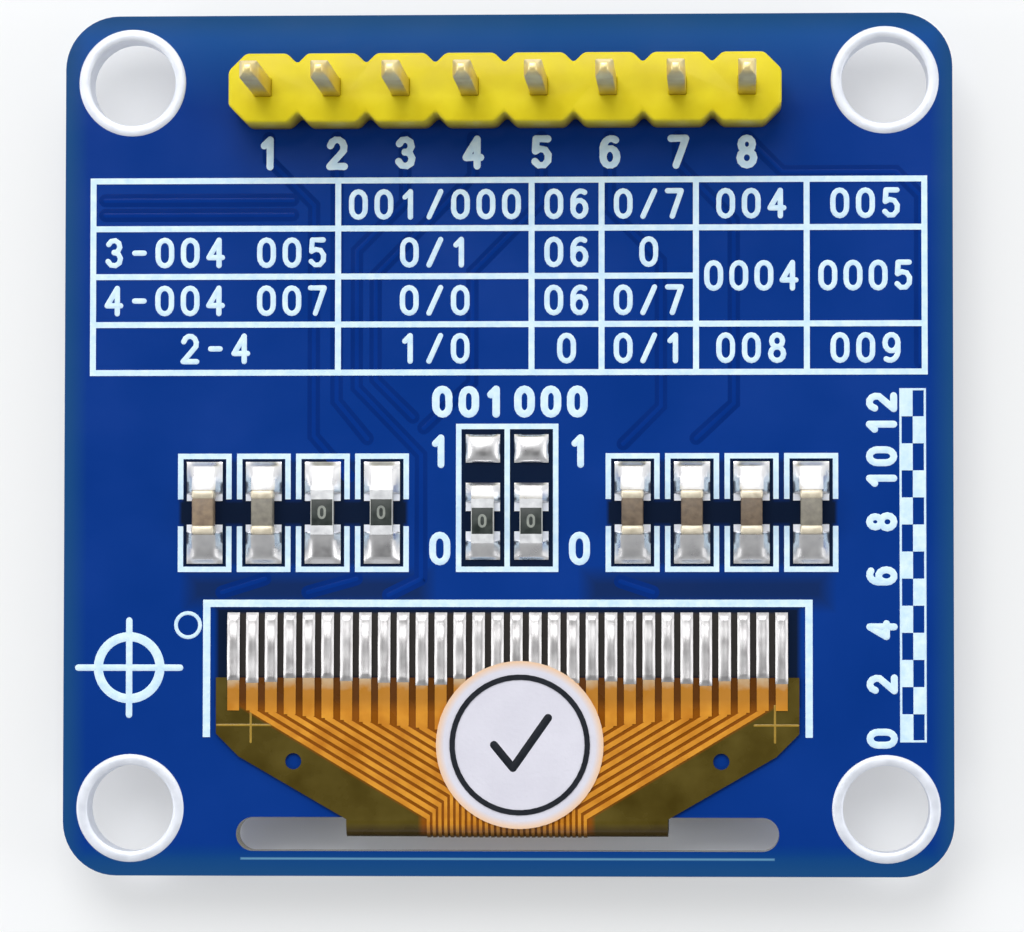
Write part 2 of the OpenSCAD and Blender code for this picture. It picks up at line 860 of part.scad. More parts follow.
module driver_chip() {
    color([0.12, 0.12, 0.14])
        translate([0, driver_y, ledge_z]) plate(driver_w, driver_h, driver_t);
}

module display_tape() {
    color([0.15, 0.15, 0.16])
        translate([0, cell_y, tape_z])
            plate(glass_w - 2 * tape_inset, rear_glass_h - 2 * tape_inset, tape_t);
}

board();
hole_plating();
pin_hole_plating();
printed_lines();
header_body();
header_pin(1);  // header_pin_1
header_pin(2);  // header_pin_2
header_pin(3);  // header_pin_3
header_pin(4);  // header_pin_4
header_pin(5);  // header_pin_5
header_pin(6);  // header_pin_6
header_pin(7);  // header_pin_7
header_pin(8);  // header_pin_8
header_solder();
chip_pads();
chip_solder();
capacitor_body(1);  // capacitor_1_body
capacitor_terminals(1);  // capacitor_1_terminals
capacitor_body(2);  // capacitor_2_body
capacitor_terminals(2);  // capacitor_2_terminals
capacitor_body(3);  // capacitor_3_body
capacitor_terminals(3);  // capacitor_3_terminals
capacitor_body(4);  // capacitor_4_body
capacitor_terminals(4);  // capacitor_4_terminals
capacitor_body(5);  // capacitor_5_body
capacitor_terminals(5);  // capacitor_5_terminals
capacitor_body(6);  // capacitor_6_body
capacitor_terminals(6);  // capacitor_6_terminals
at_resistor(1) resistor_body();  // resistor_1_body
at_resistor(1) resistor_glaze();  // resistor_1_glaze
at_resistor(1) resistor_terminals();  // resistor_1_terminals
at_resistor(2) resistor_body();  // resistor_2_body
at_resistor(2) resistor_glaze();  // resistor_2_glaze
at_resistor(2) resistor_terminals();  // resistor_2_terminals
at_link(1) resistor_body();  // link_1_body
at_link(1) resistor_glaze();  // link_1_glaze
at_link(1) resistor_terminals();  // link_1_terminals
at_link(2) resistor_body();  // link_2_body
at_link(2) resistor_glaze();  // link_2_glaze
at_link(2) resistor_terminals();  // link_2_terminals
flex_pads();
flex_film();
flex_traces();
flex_fingers();
sticker();
sticker_print();
polarizer();
front_glass();
emitter_layer();
glass_seal();
rear_glass();
drying_sheet();
driver_chip();
display_tape();
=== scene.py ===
# %% [markdown]
# # A small display module, lying on its screen
#
# The object is a blue circuit board, 33 mm wide and 32 mm high. Its screen is on the face that lies on
# the table. The face that looks up carries a yellow pin header, a printed table, small chips and an
# amber flex tail that comes round through a slot and is soldered down with 30 fingers.
#
# The solids come from the CAD model at their real size and place. This lesson dresses them: finishes
# for every solid, finer copies of the pieces whose edges catch the light, and then solder, print,
# hidden tracks, the floor, the lamps and the camera.

# %% The tools and the frame
import math
import random

import bmesh
import bpy
from mathutils import Matrix, Vector


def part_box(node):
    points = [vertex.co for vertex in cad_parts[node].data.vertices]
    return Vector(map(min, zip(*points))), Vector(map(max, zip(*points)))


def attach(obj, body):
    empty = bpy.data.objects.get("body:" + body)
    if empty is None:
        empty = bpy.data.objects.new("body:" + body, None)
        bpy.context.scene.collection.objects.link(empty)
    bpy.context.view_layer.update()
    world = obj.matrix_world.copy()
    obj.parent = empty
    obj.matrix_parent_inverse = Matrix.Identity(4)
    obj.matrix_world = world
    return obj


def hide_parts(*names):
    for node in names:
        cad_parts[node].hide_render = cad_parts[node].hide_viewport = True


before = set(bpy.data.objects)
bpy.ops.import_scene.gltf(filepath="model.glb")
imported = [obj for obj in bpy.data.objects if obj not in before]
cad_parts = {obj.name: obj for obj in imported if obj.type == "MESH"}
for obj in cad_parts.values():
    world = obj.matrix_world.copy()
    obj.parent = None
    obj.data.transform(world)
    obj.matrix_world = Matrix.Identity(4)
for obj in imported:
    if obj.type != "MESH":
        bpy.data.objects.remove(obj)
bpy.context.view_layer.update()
MM = 0.001
scene = bpy.context.scene
random.seed(7)

# %% [markdown]
# ## Places to work from
#
# Everything that is added here sits on a CAD solid, so its place is read from that solid's box instead
# of being typed in. `centre` and `extent` turn a node's two box corners into the middle and the size.
# Lengths that are written as plain numbers are millimetres, and `* MM` turns them into metres.

# %% Places and sizes of the CAD solids


def centre(node):
    low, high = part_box(node)
    return (low + high) / 2


def extent(node):
    low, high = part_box(node)
    return high - low


CAPACITORS = [f"capacitor_{n}" for n in range(1, 7)]
RESISTORS = ["resistor_1", "resistor_2", "link_1", "link_2"]
board_low, board_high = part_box("board")
face_z = board_high.z
pad_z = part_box("chip_pads")[1].z
print("component face at", round(face_z / MM, 3), "mm, pads at", round(pad_z / MM, 3), "mm")

# %% [markdown]
# ## Shared effects as node groups
#
# Real finishes are never one flat colour. Three effects come back in nearly every material here: a
# colour that drifts between two tones, a gloss that is not quite even, and a fine relief. Each is built
# once as a shader node group with named inputs, and each material places it with its own values. The
# patterns read Object coordinates, which are metres on this object, so a patch size in metres becomes a
# noise scale by dividing one by it.

# %% A short way to add nodes


def add_node(tree, kind, inputs=None, **settings):
    made = tree.nodes.new(kind)
    for key, value in settings.items():
        setattr(made, key, value)
    for key, value in (inputs or {}).items():
        if isinstance(value, bpy.types.NodeSocket):
            tree.links.new(value, made.inputs[key])
        else:
            made.inputs[key].default_value = value
    return made


def maths(tree, operation, *values, clamp=False):
    inputs = dict(enumerate(values))
    return add_node(tree, "ShaderNodeMath", inputs, operation=operation, use_clamp=clamp).outputs[0]


def map_range(tree, value, start, end, low=0.0, high=1.0):
    """The value carried from start and end to low and high, and held beyond them"""
    return add_node(tree, "ShaderNodeMapRange", {0: value, 1: start, 2: end, 3: low, 4: high}).outputs[0]


def object_place(tree):
    """Object coordinates, as one vector and then as x, y and z"""
    place = add_node(tree, "ShaderNodeTexCoord").outputs["Object"]
    return place, *add_node(tree, "ShaderNodeSeparateXYZ", {0: place}).outputs


def new_group(name, inputs, output):
    """An empty node group with float or colour inputs, and its input and output nodes"""
    group = bpy.data.node_groups.new(name, "ShaderNodeTree")
    for label, default in inputs.items():
        kind = "NodeSocketFloat" if isinstance(default, float) else "NodeSocketColor"
        socket = group.interface.new_socket(name=label, in_out="INPUT", socket_type=kind)
        socket.default_value = default
    kind = "NodeSocketColor" if output == "Colour" else "NodeSocketFloat"
    group.interface.new_socket(name=output, in_out="OUTPUT", socket_type=kind)
    return group, group.nodes.new("NodeGroupInput").outputs, group.nodes.new("NodeGroupOutput").inputs


def place_group(tree, group, inputs):
    return add_node(tree, "ShaderNodeGroup", inputs, node_tree=group).outputs[0]


WHITE = (1.0, 1.0, 1.0, 1.0)

# %% Drifting colour, uneven gloss and fine relief


def noise_of(group, source, detail):
    """Noise on Object coordinates whose patches are as large as the group's Patch input says"""
    place = add_node(group, "ShaderNodeTexCoord").outputs["Object"]
    inputs = {"Vector": place, "Scale": maths(group, "DIVIDE", 1.0, source["Patch"]), "Detail": detail}
    return add_node(group, "ShaderNodeTexNoise", inputs).outputs["Fac"]


tones = {"Light": WHITE, "Dark": WHITE, "Patch": 0.002}
drift, source, result = new_group("drifting colour", tones, "Colour")
spread = maths(drift, "SUBTRACT", noise_of(drift, source, 3.0), 0.3)
spread = maths(drift, "DIVIDE", spread, 0.4, clamp=True)
mixed = add_node(drift, "ShaderNodeMix", {0: spread, 6: source["Dark"], 7: source["Light"]}, data_type="RGBA")
drift.links.new(mixed.outputs[2], result["Colour"])

uneven, source, result = new_group("uneven gloss", {"Low": 0.2, "High": 0.4, "Patch": 0.001}, "Roughness")
shine = map_range(uneven, noise_of(uneven, source, 4.0), 0.3, 0.7, source["Low"], source["High"])
uneven.links.new(shine, result["Roughness"])

relief, source, result = new_group("fine relief", {"Depth": 1.0, "Patch": 0.0004}, "Height")
rise = maths(relief, "MULTIPLY", noise_of(relief, source, 2.0), source["Depth"])
relief.links.new(rise, result["Height"])
print("groups:", [group.name for group in (drift, uneven, relief)])

# %% A finish from the three effects
BUMP = {"Strength": 0.6, "Distance": 0.02 * MM}


def make_finish(name, light, dark, patch=0.002, gloss=(0.3, 0.45), bumps=(0.3, 0.0003), **constants):
    """A material that drifts from light to dark. Constants are named as the shader's sockets are"""
    material = bpy.data.materials.new(name)
    material.use_nodes = True
    tree = material.node_tree
    shader = tree.nodes["Principled BSDF"]
    for key, value in constants.items():
        shader.inputs[key.replace("_", " ")].default_value = value
    tones = {"Light": (*light, 1.0), "Dark": (*dark, 1.0), "Patch": patch}
    tree.links.new(place_group(tree, drift, tones), shader.inputs["Base Color"])
    shine = place_group(tree, uneven, {"Low": gloss[0], "High": gloss[1], "Patch": patch})
    tree.links.new(shine, shader.inputs["Roughness"])
    height = place_group(tree, relief, {"Depth": bumps[0], "Patch": bumps[1]})
    bump = add_node(tree, "ShaderNodeBump", {"Height": height, **BUMP})
    tree.links.new(bump.outputs["Normal"], shader.inputs["Normal"])
    return material


def open_finish(material):
    """A finish's node tree, its shader, and the colour that the shader takes so far"""
    tree = material.node_tree
    shader = tree.nodes["Principled BSDF"]
    return tree, shader, shader.inputs["Base Color"].links[0].from_socket


# %% [markdown]
# ## Plain finishes
#
# Most pieces need only the three effects with their own values. Tin and solder are bright metals with a
# slightly frosted skin. The gold of the pins is thin over brass, so it is pale. Moulded header plastic is
# a strong yellow with a fine grain. The capacitors come in three shades of ceramic: brown, dark brown
# and grey. The ceramic of the resistors is white, and their glaze nearly black. The foam tape is matt,
# and the polarizer is a very dark, glossy film.

# %% Metals
END_METAL = {"patch": 0.0003, "gloss": (0.35, 0.5)}
tin = make_finish("tinned copper", (0.83, 0.86, 0.93), (0.73, 0.76, 0.84), 0.0006, (0.38, 0.5), Metallic=0.4)
solder = make_finish(
    "solder", (0.95, 0.94, 0.94), (0.84, 0.83, 0.84), 0.0004, (0.26, 0.36), (0.35, 0.00035), Metallic=1.0
)
flooded = {"gloss": (0.34, 0.44), "bumps": (0.05, 0.0005), "Metallic": 1.0}
finger_tin = make_finish("solder on fingers", (0.75, 0.735, 0.735), (0.6, 0.58, 0.58), 0.0005, **flooded)
gold = make_finish("pin gold", (1.0, 0.86, 0.44), (0.87, 0.67, 0.26), 0.0008, (0.32, 0.44), Metallic=0.8)
cap_metal = make_finish("capacitor end", (0.86, 0.78, 0.62), (0.68, 0.6, 0.45), Metallic=0.5, **END_METAL)
band_metal = make_finish("resistor band", (0.82, 0.83, 0.84), (0.62, 0.63, 0.65), Metallic=0.6, **END_METAL)
mirror_metal = make_finish(
    "emitter metal", (0.7, 0.72, 0.75), (0.5, 0.52, 0.56), 0.004, (0.15, 0.25), Metallic=1.0
)

# %% Plastics, ceramics and films
CERAMIC = {"patch": 0.0003, "gloss": (0.45, 0.6), "bumps": (1.0, 0.0001)}
header_yellow = make_finish(
    "header yellow", (0.8, 0.67, 0.01), (0.71, 0.57, 0.006), 0.0012, (0.36, 0.5), Specular_IOR_Level=0.3
)
print_white = make_finish(
    "print white", (0.72, 0.89, 1.0), (0.56, 0.77, 0.95), 0.0003, (0.5, 0.7), (1.0, 0.0001)
)
brown_ceramic = make_finish("brown ceramic", (0.3, 0.22, 0.14), (0.17, 0.12, 0.085), **CERAMIC)
dark_ceramic = make_finish("dark brown ceramic", (0.2, 0.145, 0.095), (0.11, 0.08, 0.055), **CERAMIC)
grey_ceramic = make_finish("grey ceramic", (0.27, 0.25, 0.2), (0.17, 0.155, 0.13), **CERAMIC)
white_ceramic = make_finish("white ceramic", (0.7, 0.71, 0.68), (0.55, 0.56, 0.54), 0.0004, (0.4, 0.55))
dark_glaze = make_finish("dark glaze", (0.035, 0.045, 0.04), (0.012, 0.018, 0.016), 0.0003, (0.3, 0.5))
black_foam = make_finish(
    "black foam", (0.03, 0.03, 0.032), (0.014, 0.014, 0.015), 0.0006, (0.8, 0.95), (1.0, 0.0002)
)
ink = make_finish(
    "black ink", (0.012, 0.015, 0.022), (0.005, 0.007, 0.012), 0.0004, (0.5, 0.65), Specular_IOR_Level=0.2
)
polarizer_black = make_finish("polarizer", (0.008, 0.009, 0.012), (0.005, 0.005, 0.007), 0.006, (0.08, 0.14))
silicon = make_finish("silicon", (0.06, 0.06, 0.065), (0.035, 0.035, 0.04), 0.002, (0.12, 0.2), Metallic=0.5)
seal = make_finish("glass seal", (0.5, 0.48, 0.42), (0.38, 0.36, 0.3), 0.001, (0.5, 0.7))
drying_white = make_finish("drying sheet", (0.8, 0.8, 0.78), (0.7, 0.7, 0.68), 0.001, (0.7, 0.9))
clear = {"gloss": (0.02, 0.04), "bumps": (0.0, 0.001), "IOR": 1.5, "Transmission_Weight": 1.0}
glass = make_finish("clear glass", (0.93, 0.98, 0.96), (0.9, 0.96, 0.94), 0.01, **clear)
print("finishes so far:", len(bpy.data.materials))

# %% [markdown]
# ## The board's blue
#
# Solder mask is a glossy blue lacquer over copper. Where the copper beneath is left out, round the pads
# and inside the printed boxes, the lacquer looks nearly black. The sawn edges show bare tan laminate.
# All of this is painted by place: a small group gives the mask of a rectangle, whose depth inside is the
# least of the distances to its four sides. Where a chip or the tail decides the place, it is read from
# that solid.

# %% The mask of a rectangle
sides = {"Left": 0.0, "Right": 0.0, "Bottom": 0.0, "Top": 0.0, "Edge": 0.0002}
boxed, source, result = new_group("rectangle", sides, "Inside")
place, x, y, z = object_place(boxed)
across = [maths(boxed, "SUBTRACT", x, source["Left"]), maths(boxed, "SUBTRACT", source["Right"], x)]
along = [maths(boxed, "SUBTRACT", y, source["Bottom"]), maths(boxed, "SUBTRACT", source["Top"], y)]
depth = maths(boxed, "MINIMUM", maths(boxed, "MINIMUM", *across), maths(boxed, "MINIMUM", *along))
boxed.links.new(map_range(boxed, depth, 0.0, source["Edge"]), result["Inside"])


def rectangle(tree, left, right, bottom, top, edge=0.2):
    """The mask of a rectangle given in millimetres"""
    values = (left, right, bottom, top, edge)
    return place_group(tree, boxed, {side: value * MM for side, value in zip(sides, values)})


def blend(tree, mask, below, above):
    """The colour above where the mask is 1, and the colour below where it is 0"""
    made = add_node(tree, "ShaderNodeMix", {0: mask}, data_type="RGBA")
    for socket, value in ((6, below), (7, above)):
        if isinstance(value, bpy.types.NodeSocket):
            tree.links.new(value, made.inputs[socket])
        else:
            made.inputs[socket].default_value = (*value, 1.0)
    return made.outputs[2]

# %% [markdown]
# ## Painted shade that fades with height
#
# Light that falls between upright pieces comes back coloured and weak, so the header and its pins are
# painted deeper in tone near the board: a painted shade. A second group gives a mask that climbs from one
# height to another. It also tells the board's upper face from its lower one.

# %% The mask that climbs, and the finishes with painted shade
climb, source, result = new_group("height mask", {"From": 0.0, "To": 0.001}, "Mask")
place, x, y, z = object_place(climb)
climb.links.new(map_range(climb, z, source["From"], source["To"]), result["Mask"])


def height_mask(tree, start, end):
    """0 below start and 1 above end, both in metres"""
    return place_group(tree, climb, {"From": start, "To": end})


def tint_low_parts(material, start, end, shade_colour):
    """Painted shade: the shade colour below start, in millimetres, and the finish's own colour above end"""
    tree, shader, colour = open_finish(material)
    mask = height_mask(tree, start * MM, end * MM)
    tree.links.new(blend(tree, mask, shade_colour, colour), shader.inputs["Base Color"])


# Painted shade: the header and its pins darken towards the board
tint_low_parts(header_yellow, 3.45, 5.92, (0.15, 0.085, 0.001))
tint_low_parts(gold, 6.0, 11.0, (0.46, 0.33, 0.03))

# %% [markdown]
# ## Painting the lacquer
#
# The strips come first, from the header's edge down to a thin glint of light beside the slot: a lighter blue
# along the header's edge, which is painted light, a greener blue towards the lower edge, and the glint, a
# painted highlight. Then come the rim, the darker blue round the chip boxes, and the clearances in them,
# each over what lies below. The bare laminate of the edges goes on last.

# %% Lacquer: strips with painted light, a painted glint, and the rim
GLOSS = {"gloss": (0.14, 0.22), "bumps": (0.4, 0.0008), "Specular_IOR_Level": 0.2}
lacquer = make_finish("blue lacquer", (0.0028, 0.038, 0.25), (0.0023, 0.033, 0.222), 0.004, **GLOSS)
tree, shader, colour = open_finish(lacquer)
place, x, y, z = object_place(tree)
half_w = (board_high.x - board_low.x) / 2 / MM
half_h = (board_high.y - board_low.y) / 2 / MM

# Painted light: the lacquer turns a lighter blue towards the header's edge. Then a greener blue towards the
# lower edge
colour = blend(tree, map_range(tree, y, 0.0125, 0.0158, 0.0, 0.75), colour, (0.014, 0.1, 0.32))
colour = blend(tree, map_range(tree, y, -0.0148, -0.0154, 0.0, 0.7), colour, (0.005, 0.06, 0.2))
on_top = height_mask(tree, face_z - 0.1 * MM, face_z)
# Painted highlight: a thin glint of light beside the slot, on the board's upper face
glint = maths(tree, "MULTIPLY", rectangle(tree, -9.9, 9.9, -15.42, -15.3, 0.05), on_top)
colour = blend(tree, glint, colour, (0.16, 0.38, 0.55))
RIM = 0.15
inner = rectangle(tree, -half_w + RIM, half_w - RIM, -half_h + RIM, half_h - RIM, 0.7)
colour = blend(tree, inner, (0.01, 0.065, 0.2), colour)

# %% Lacquer: shades and clearances
CLEARANCE = (0.004, 0.011, 0.034)
CHIP_BOX = (-4.6, -0.5)
tail_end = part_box("flex_traces")[1].y / MM
pads_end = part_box("flex_pads")[1].y / MM
for left, right in ((-12.2, -2.6), (2.6, 12.2)):
    colour = blend(tree, rectangle(tree, left, right, -6.3, -4.5, 0.7), colour, (0.006, 0.024, 0.11))
for side in (-1, 1):
    mid = side * abs(centre("capacitor_6_body").x + centre("capacitor_3_body").x) / 2 / MM
    colour = blend(tree, rectangle(tree, mid - 4.25, mid + 4.25, *CHIP_BOX), colour, (0.0045, 0.022, 0.12))
    colour = blend(tree, rectangle(tree, mid - 4.3, mid + 4.3, -3.05, -2.05, 0.15), colour, CLEARANCE)
colour = blend(tree, rectangle(tree, -1.85, 1.85, -4.75, 0.75), colour, CLEARANCE)
colour = blend(tree, rectangle(tree, -10.9, 10.9, -9.8, pads_end + 0.3), colour, CLEARANCE)
between_pads = rectangle(tree, -10.0, 10.0, tail_end, pads_end + 0.05, 0.1)
colour = blend(tree, between_pads, colour, (0.042, 0.038, 0.036))
for chip in CAPACITORS + RESISTORS[:2]:
    chip_x = centre(chip + "_body").x / MM
    colour = blend(tree, rectangle(tree, chip_x - 0.85, chip_x + 0.85, *CHIP_BOX, 0.1), colour, CLEARANCE)

# %% Lacquer: bare laminate at the edges
MASK_DEPTH = 0.04 * MM
from_middle = maths(tree, "ABSOLUTE", maths(tree, "SUBTRACT", z, centre("board").z))
bare = maths(tree, "LESS_THAN", from_middle, extent("board").z / 2 - MASK_DEPTH)
weave = {"Vector": place, "Scale": 1500.0, "Distortion": 1.5}
layers = add_node(tree, "ShaderNodeTexWave", weave, bands_direction="Z").outputs["Fac"]
laminate = blend(tree, layers, (0.3, 0.27, 0.15), (0.42, 0.38, 0.22))
tree.links.new(blend(tree, bare, colour, laminate), shader.inputs["Base Color"])
print("board", round(2 * half_w, 2), "by", round(2 * half_h, 2), "mm, nodes in the lacquer:", len(tree.nodes))

# %% [markdown]
# ## The flex tail's amber
#
# Polyimide film is a clear amber. Over the blue board it turns olive. Between the traces the copper on
# the film reflects through it, so the gaps there are a red-brown, and the traces themselves glow orange
# under their cover film. The fan is bounded by two slanted lines, so the mask of the fan compares the
# distance from the middle with a straight line in y. It holds on the upper run alone: on the far side of
# the slot the film is as narrow as its lanes. Both finishes carry a painted shade where the film turns
# down into the slot, and the last stretch of the traces is tinned.

# %% Amber film
FAN_ANGLE = math.radians(31)
FAN_START, FAN_WIDEST, LANES_HALF = 2.2 * MM, 10.4 * MM, 3.3 * MM
fold_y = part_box("flex_traces")[0].y
film_end_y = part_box("flex_traces")[1].y


def trace_roots(tree):
    """The mask of the traces' last stretch, where they run into the fingers"""
    return rectangle(tree, -12.0, 12.0, film_end_y / MM - 1.3, film_end_y / MM + 1.0, 0.5)


def toward_fold(tree, height, colour):
    """Painted shade: the film darkens where it turns down into the slot"""
    near = map_range(tree, height, fold_y + 0.5 * MM, fold_y + 0.05 * MM, 0.0, 0.8)
    return blend(tree, near, colour, (0.035, 0.017, 0.006))


film_look = {"Specular_IOR_Level": 0.25, "Coat_Weight": 0.15, "Coat_Roughness": 0.15}
amber = make_finish(
    "amber film", (0.1, 0.072, 0.008), (0.055, 0.037, 0.003), 0.0016, (0.22, 0.34), (0.6, 0.0008), **film_look
)
tree, shader, colour = open_finish(amber)
place, x, y, z = object_place(tree)
past_fold = maths(tree, "SUBTRACT", y, fold_y + 0.13 * MM)
reach = maths(tree, "MULTIPLY_ADD", past_fold, 1 / math.tan(FAN_ANGLE), FAN_START)
reach = maths(tree, "MULTIPLY", reach, height_mask(tree, face_z - 0.1 * MM, face_z))
reach = maths(tree, "MAXIMUM", maths(tree, "MINIMUM", reach, FAN_WIDEST), LANES_HALF)
inside = maths(tree, "SUBTRACT", reach, maths(tree, "ABSOLUTE", x))
inside = maths(tree, "DIVIDE", inside, 0.2 * MM, clamp=True)
between = blend(tree, trace_roots(tree), (0.24, 0.07, 0.001), (0.1, 0.03, 0.001))
colour = blend(tree, inside, colour, between)
tree.links.new(toward_fold(tree, y, colour), shader.inputs["Base Color"])

# %% Copper traces under the film
covered = {"gloss": (0.28, 0.4), "Metallic": 0.2, "Coat_Weight": 0.5}
traces_orange = make_finish("copper under amber", (0.8, 0.34, 0.02), (0.6, 0.21, 0.01), 0.0009, **covered)
tree, shader, colour = open_finish(traces_orange)
place, x, y, z = object_place(tree)
cloud = add_node(tree, "ShaderNodeTexNoise", {"Vector": place, "Scale": 2500.0}).outputs["Fac"]
ragged = maths(tree, "MULTIPLY_ADD", cloud, 0.5 * MM, y)
tinned = map_range(tree, ragged, film_end_y - 0.2 * MM, film_end_y + 0.25 * MM, 0.0, 0.85)
colour = blend(tree, trace_roots(tree), colour, (0.52, 0.21, 0.015))
colour = blend(tree, tinned, colour, (0.62, 0.5, 0.33))
tree.links.new(toward_fold(tree, y, colour), shader.inputs["Base Color"])

# %% Sticker paper
fibres = {"gloss": (0.5, 0.65), "bumps": (1.0, 0.00015)}
paper = make_finish("sticker paper", (0.7, 0.69, 0.77), (0.65, 0.64, 0.72), 0.0015, **fibres)
tree, shader, colour = open_finish(paper)
place, x, y, z = object_place(tree)
inputs = {0: place, 1: tuple(centre("sticker"))}
offset = add_node(tree, "ShaderNodeVectorMath", inputs, operation="SUBTRACT").outputs[0]
distance = add_node(tree, "ShaderNodeVectorMath", {0: offset}, operation="LENGTH").outputs["Value"]
rim = map_range(tree, distance, 2.8 * MM, 3.05 * MM)
tree.links.new(blend(tree, rim, colour, (0.8, 0.55, 0.37)), shader.inputs["Base Color"])
print("painted finishes: lacquer, amber film, traces, paper")

# %% [markdown]
# ## Giving every CAD solid its finish
#
# A CAD node keeps its mesh untouched. Only its material is exchanged, by the start of its name.

# %% Finishes by name
FINISHES = {
    "board": lacquer,
    "hole_plating": tin,
    "pin_hole_plating": tin,
    "printed_lines": print_white,
    "header_body": header_yellow,
    "header_pin": gold,
    "header_solder": solder,
    "chip_pads": tin,
    "chip_solder": solder,
    "capacitor": brown_ceramic,
    "resistor": white_ceramic,
    "link": white_ceramic,
    "flex_pads": tin,
    "flex_film": amber,
    "flex_traces": traces_orange,
    "flex_fingers": solder,
    "sticker": paper,
    "sticker_print": ink,
    "polarizer": polarizer_black,
    "front_glass": glass,
    "emitter_layer": mirror_metal,
    "glass_seal": seal,
    "rear_glass": glass,
    "drying_sheet": drying_white,
    "driver_chip": silicon,
    "display_tape": black_foam,
}
for name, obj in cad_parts.items():
    key = max((start for start in FINISHES if name.startswith(start)), key=len)
    material = FINISHES[key]
    if name.endswith("_terminals"):
        material = cap_metal if name.startswith("capacitor") else band_metal
    if name.endswith("_glaze"):
        material = dark_glaze
    obj.data.materials.clear()
    obj.data.materials.append(material)
print("finished", len(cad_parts), "CAD nodes")

# %% [markdown]
# ## From a bmesh to a piece
#
# Every new piece ends the same way: smooth shading that stops at sharp edges, an object at the origin,
# the body that it rides on, and the CAD nodes that it stands for.

# %% Ending a piece
SHARP = math.radians(35)
WELD = 1e-7


def add_object(name, data):
    made = bpy.data.objects.new(name, data)
    scene.collection.objects.link(made)
    return made


def add_mesh(bm, name, material):
    mesh = bpy.data.meshes.new(name)
    bm.to_mesh(mesh)
    bm.free()
    mesh.materials.append(material)
    return add_object(name, mesh)


def close_up(bm):
    """Joins the points that meet and turns every face outward"""
    bmesh.ops.remove_doubles(bm, verts=bm.verts, dist=WELD)
    bmesh.ops.recalc_face_normals(bm, faces=bm.faces)


def make_piece(bm, name, material, stands_for=()):
    """Ends a bmesh as a shown piece of the body, with the CAD nodes that it stands for"""
    for face in bm.faces:
        face.smooth = True
    for edge in bm.edges:
        edge.smooth = len(edge.link_faces) == 2 and edge.calc_face_angle(0) < SHARP
    piece = add_mesh(bm, name, material)
    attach(piece, "root")
    if stands_for:
        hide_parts(*stands_for)
    piece.data.calc_loop_triangles()
    print(f"{name}: {len(piece.data.loop_triangles)} triangles")
    return piece


# %% Rounded blocks and softened copies
ROUND = {"affect": "EDGES", "profile": 0.5, "material": -1}


def add_block(bm, low, high, radius, segments=2):
    """A block between two corners with all its edges rounded"""
    low, high = Vector(low), Vector(high)
    made = bmesh.ops.create_cube(bm, size=1.0)["verts"]
    bmesh.ops.scale(bm, vec=high - low, verts=made)
    bmesh.ops.translate(bm, vec=(low + high) / 2, verts=made)
    edges = list({edge for vert in made for edge in vert.link_edges})
    bmesh.ops.bevel(bm, geom=edges, offset=radius, segments=segments, **ROUND)


def whole_faced_copy(node):
    """A copy of a CAD node with its triangles merged into whole faces"""
    bm = bmesh.new()
    bm.from_mesh(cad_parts[node].data)
    bmesh.ops.remove_doubles(bm, verts=bm.verts, dist=WELD)
    bmesh.ops.dissolve_limit(bm, angle_limit=math.radians(1), verts=bm.verts, edges=bm.edges)
    return bm


def soften(bm, radius, segments=2, only=None):
    """Rounds the edges sharper than 30 degrees, or those of them that a rule picks"""
    sharp = [edge for edge in bm.edges if edge.is_manifold and edge.calc_face_angle(0) > math.radians(30)]
    chosen = [edge for edge in sharp if only is None or only(edge)]
    bmesh.ops.bevel(bm, geom=chosen, offset=radius, segments=segments, clamp_overlap=True, **ROUND)
    return bm


# %% [markdown]
# ## The pin header
#
# The header is injection-moulded, so its outer edges are rounded by about an eighth of a millimetre, and
# the mouth of each pin hole has a much smaller lead-in. The two are softened one after the other, since
# one radius for both would be held down by the narrow holes. The pins are drawn from square wire with
# slightly rounded corners, so they get a finer radius too.

# %% Header body and pins
PINS = sorted(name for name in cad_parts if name.startswith("header_pin"))
pin_places = [centre(node).xy for node in PINS]


def at_a_hole(edge):
    return min((edge.verts[0].co.xy - place).length for place in pin_places) < 0.5 * MM


body = whole_faced_copy("header_body")
soften(body, 0.12 * MM, 3, lambda edge: not at_a_hole(edge))
soften(body, 0.03 * MM, 1, at_a_hole)
make_piece(body, "header_moulding", header_yellow, ["header_body"])
for number, node in enumerate(PINS, 1):
    make_piece(soften(whole_faced_copy(node), 0.05 * MM), f"pin_{number}", gold, [node])

# %% [markdown]
# ## Rings of the mounting holes
#
# Hot-air levelling leaves a cushion of tin on each ring, highest in the middle of its width. The ring is
# a half profile, drawn once as a few vertices and spun about the hole's axis. The profile is closed, so
# the spun skin is closed too.

# %% Tinned rings by spinning a profile
HOLE_X, HOLE_Y = 14.0 * MM, 13.5 * MM
HOLE_R, RING_R, WALL = 1.6 * MM, 2.0 * MM, 0.04 * MM
ring_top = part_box("hole_plating")[1].z
hole_places = [(sx * HOLE_X, sy * HOLE_Y) for sx in (-1, 1) for sy in (-1, 1)]


def spin_profile(bm, profile, middle, steps=64):
    """Spins a closed profile of (radius, height) points about the upright line through middle"""
    verts = [bm.verts.new((middle[0] + r, middle[1], z)) for r, z in profile]
    edges = [bm.edges.new((a, b)) for a, b in zip(verts, verts[1:] + verts[:1])]
    bmesh.ops.spin(
        bm,
        geom=verts + edges,
        cent=(middle[0], middle[1], 0),
        axis=(0, 0, 1),
        angle=math.tau,
        steps=steps,
        use_merge=True,
    )


def cushion(inner, outer, z_edge, z_top, points=8):
    """The rounded top of a ring, from its inner edge to its outer edge"""
    outline = []
    for step in range(points + 1):
        turn = math.pi * step / points
        radius = (inner + outer) / 2 - (outer - inner) / 2 * math.cos(turn)
        outline.append((radius, z_edge + (z_top - z_edge) * math.sin(turn)))
    return outline


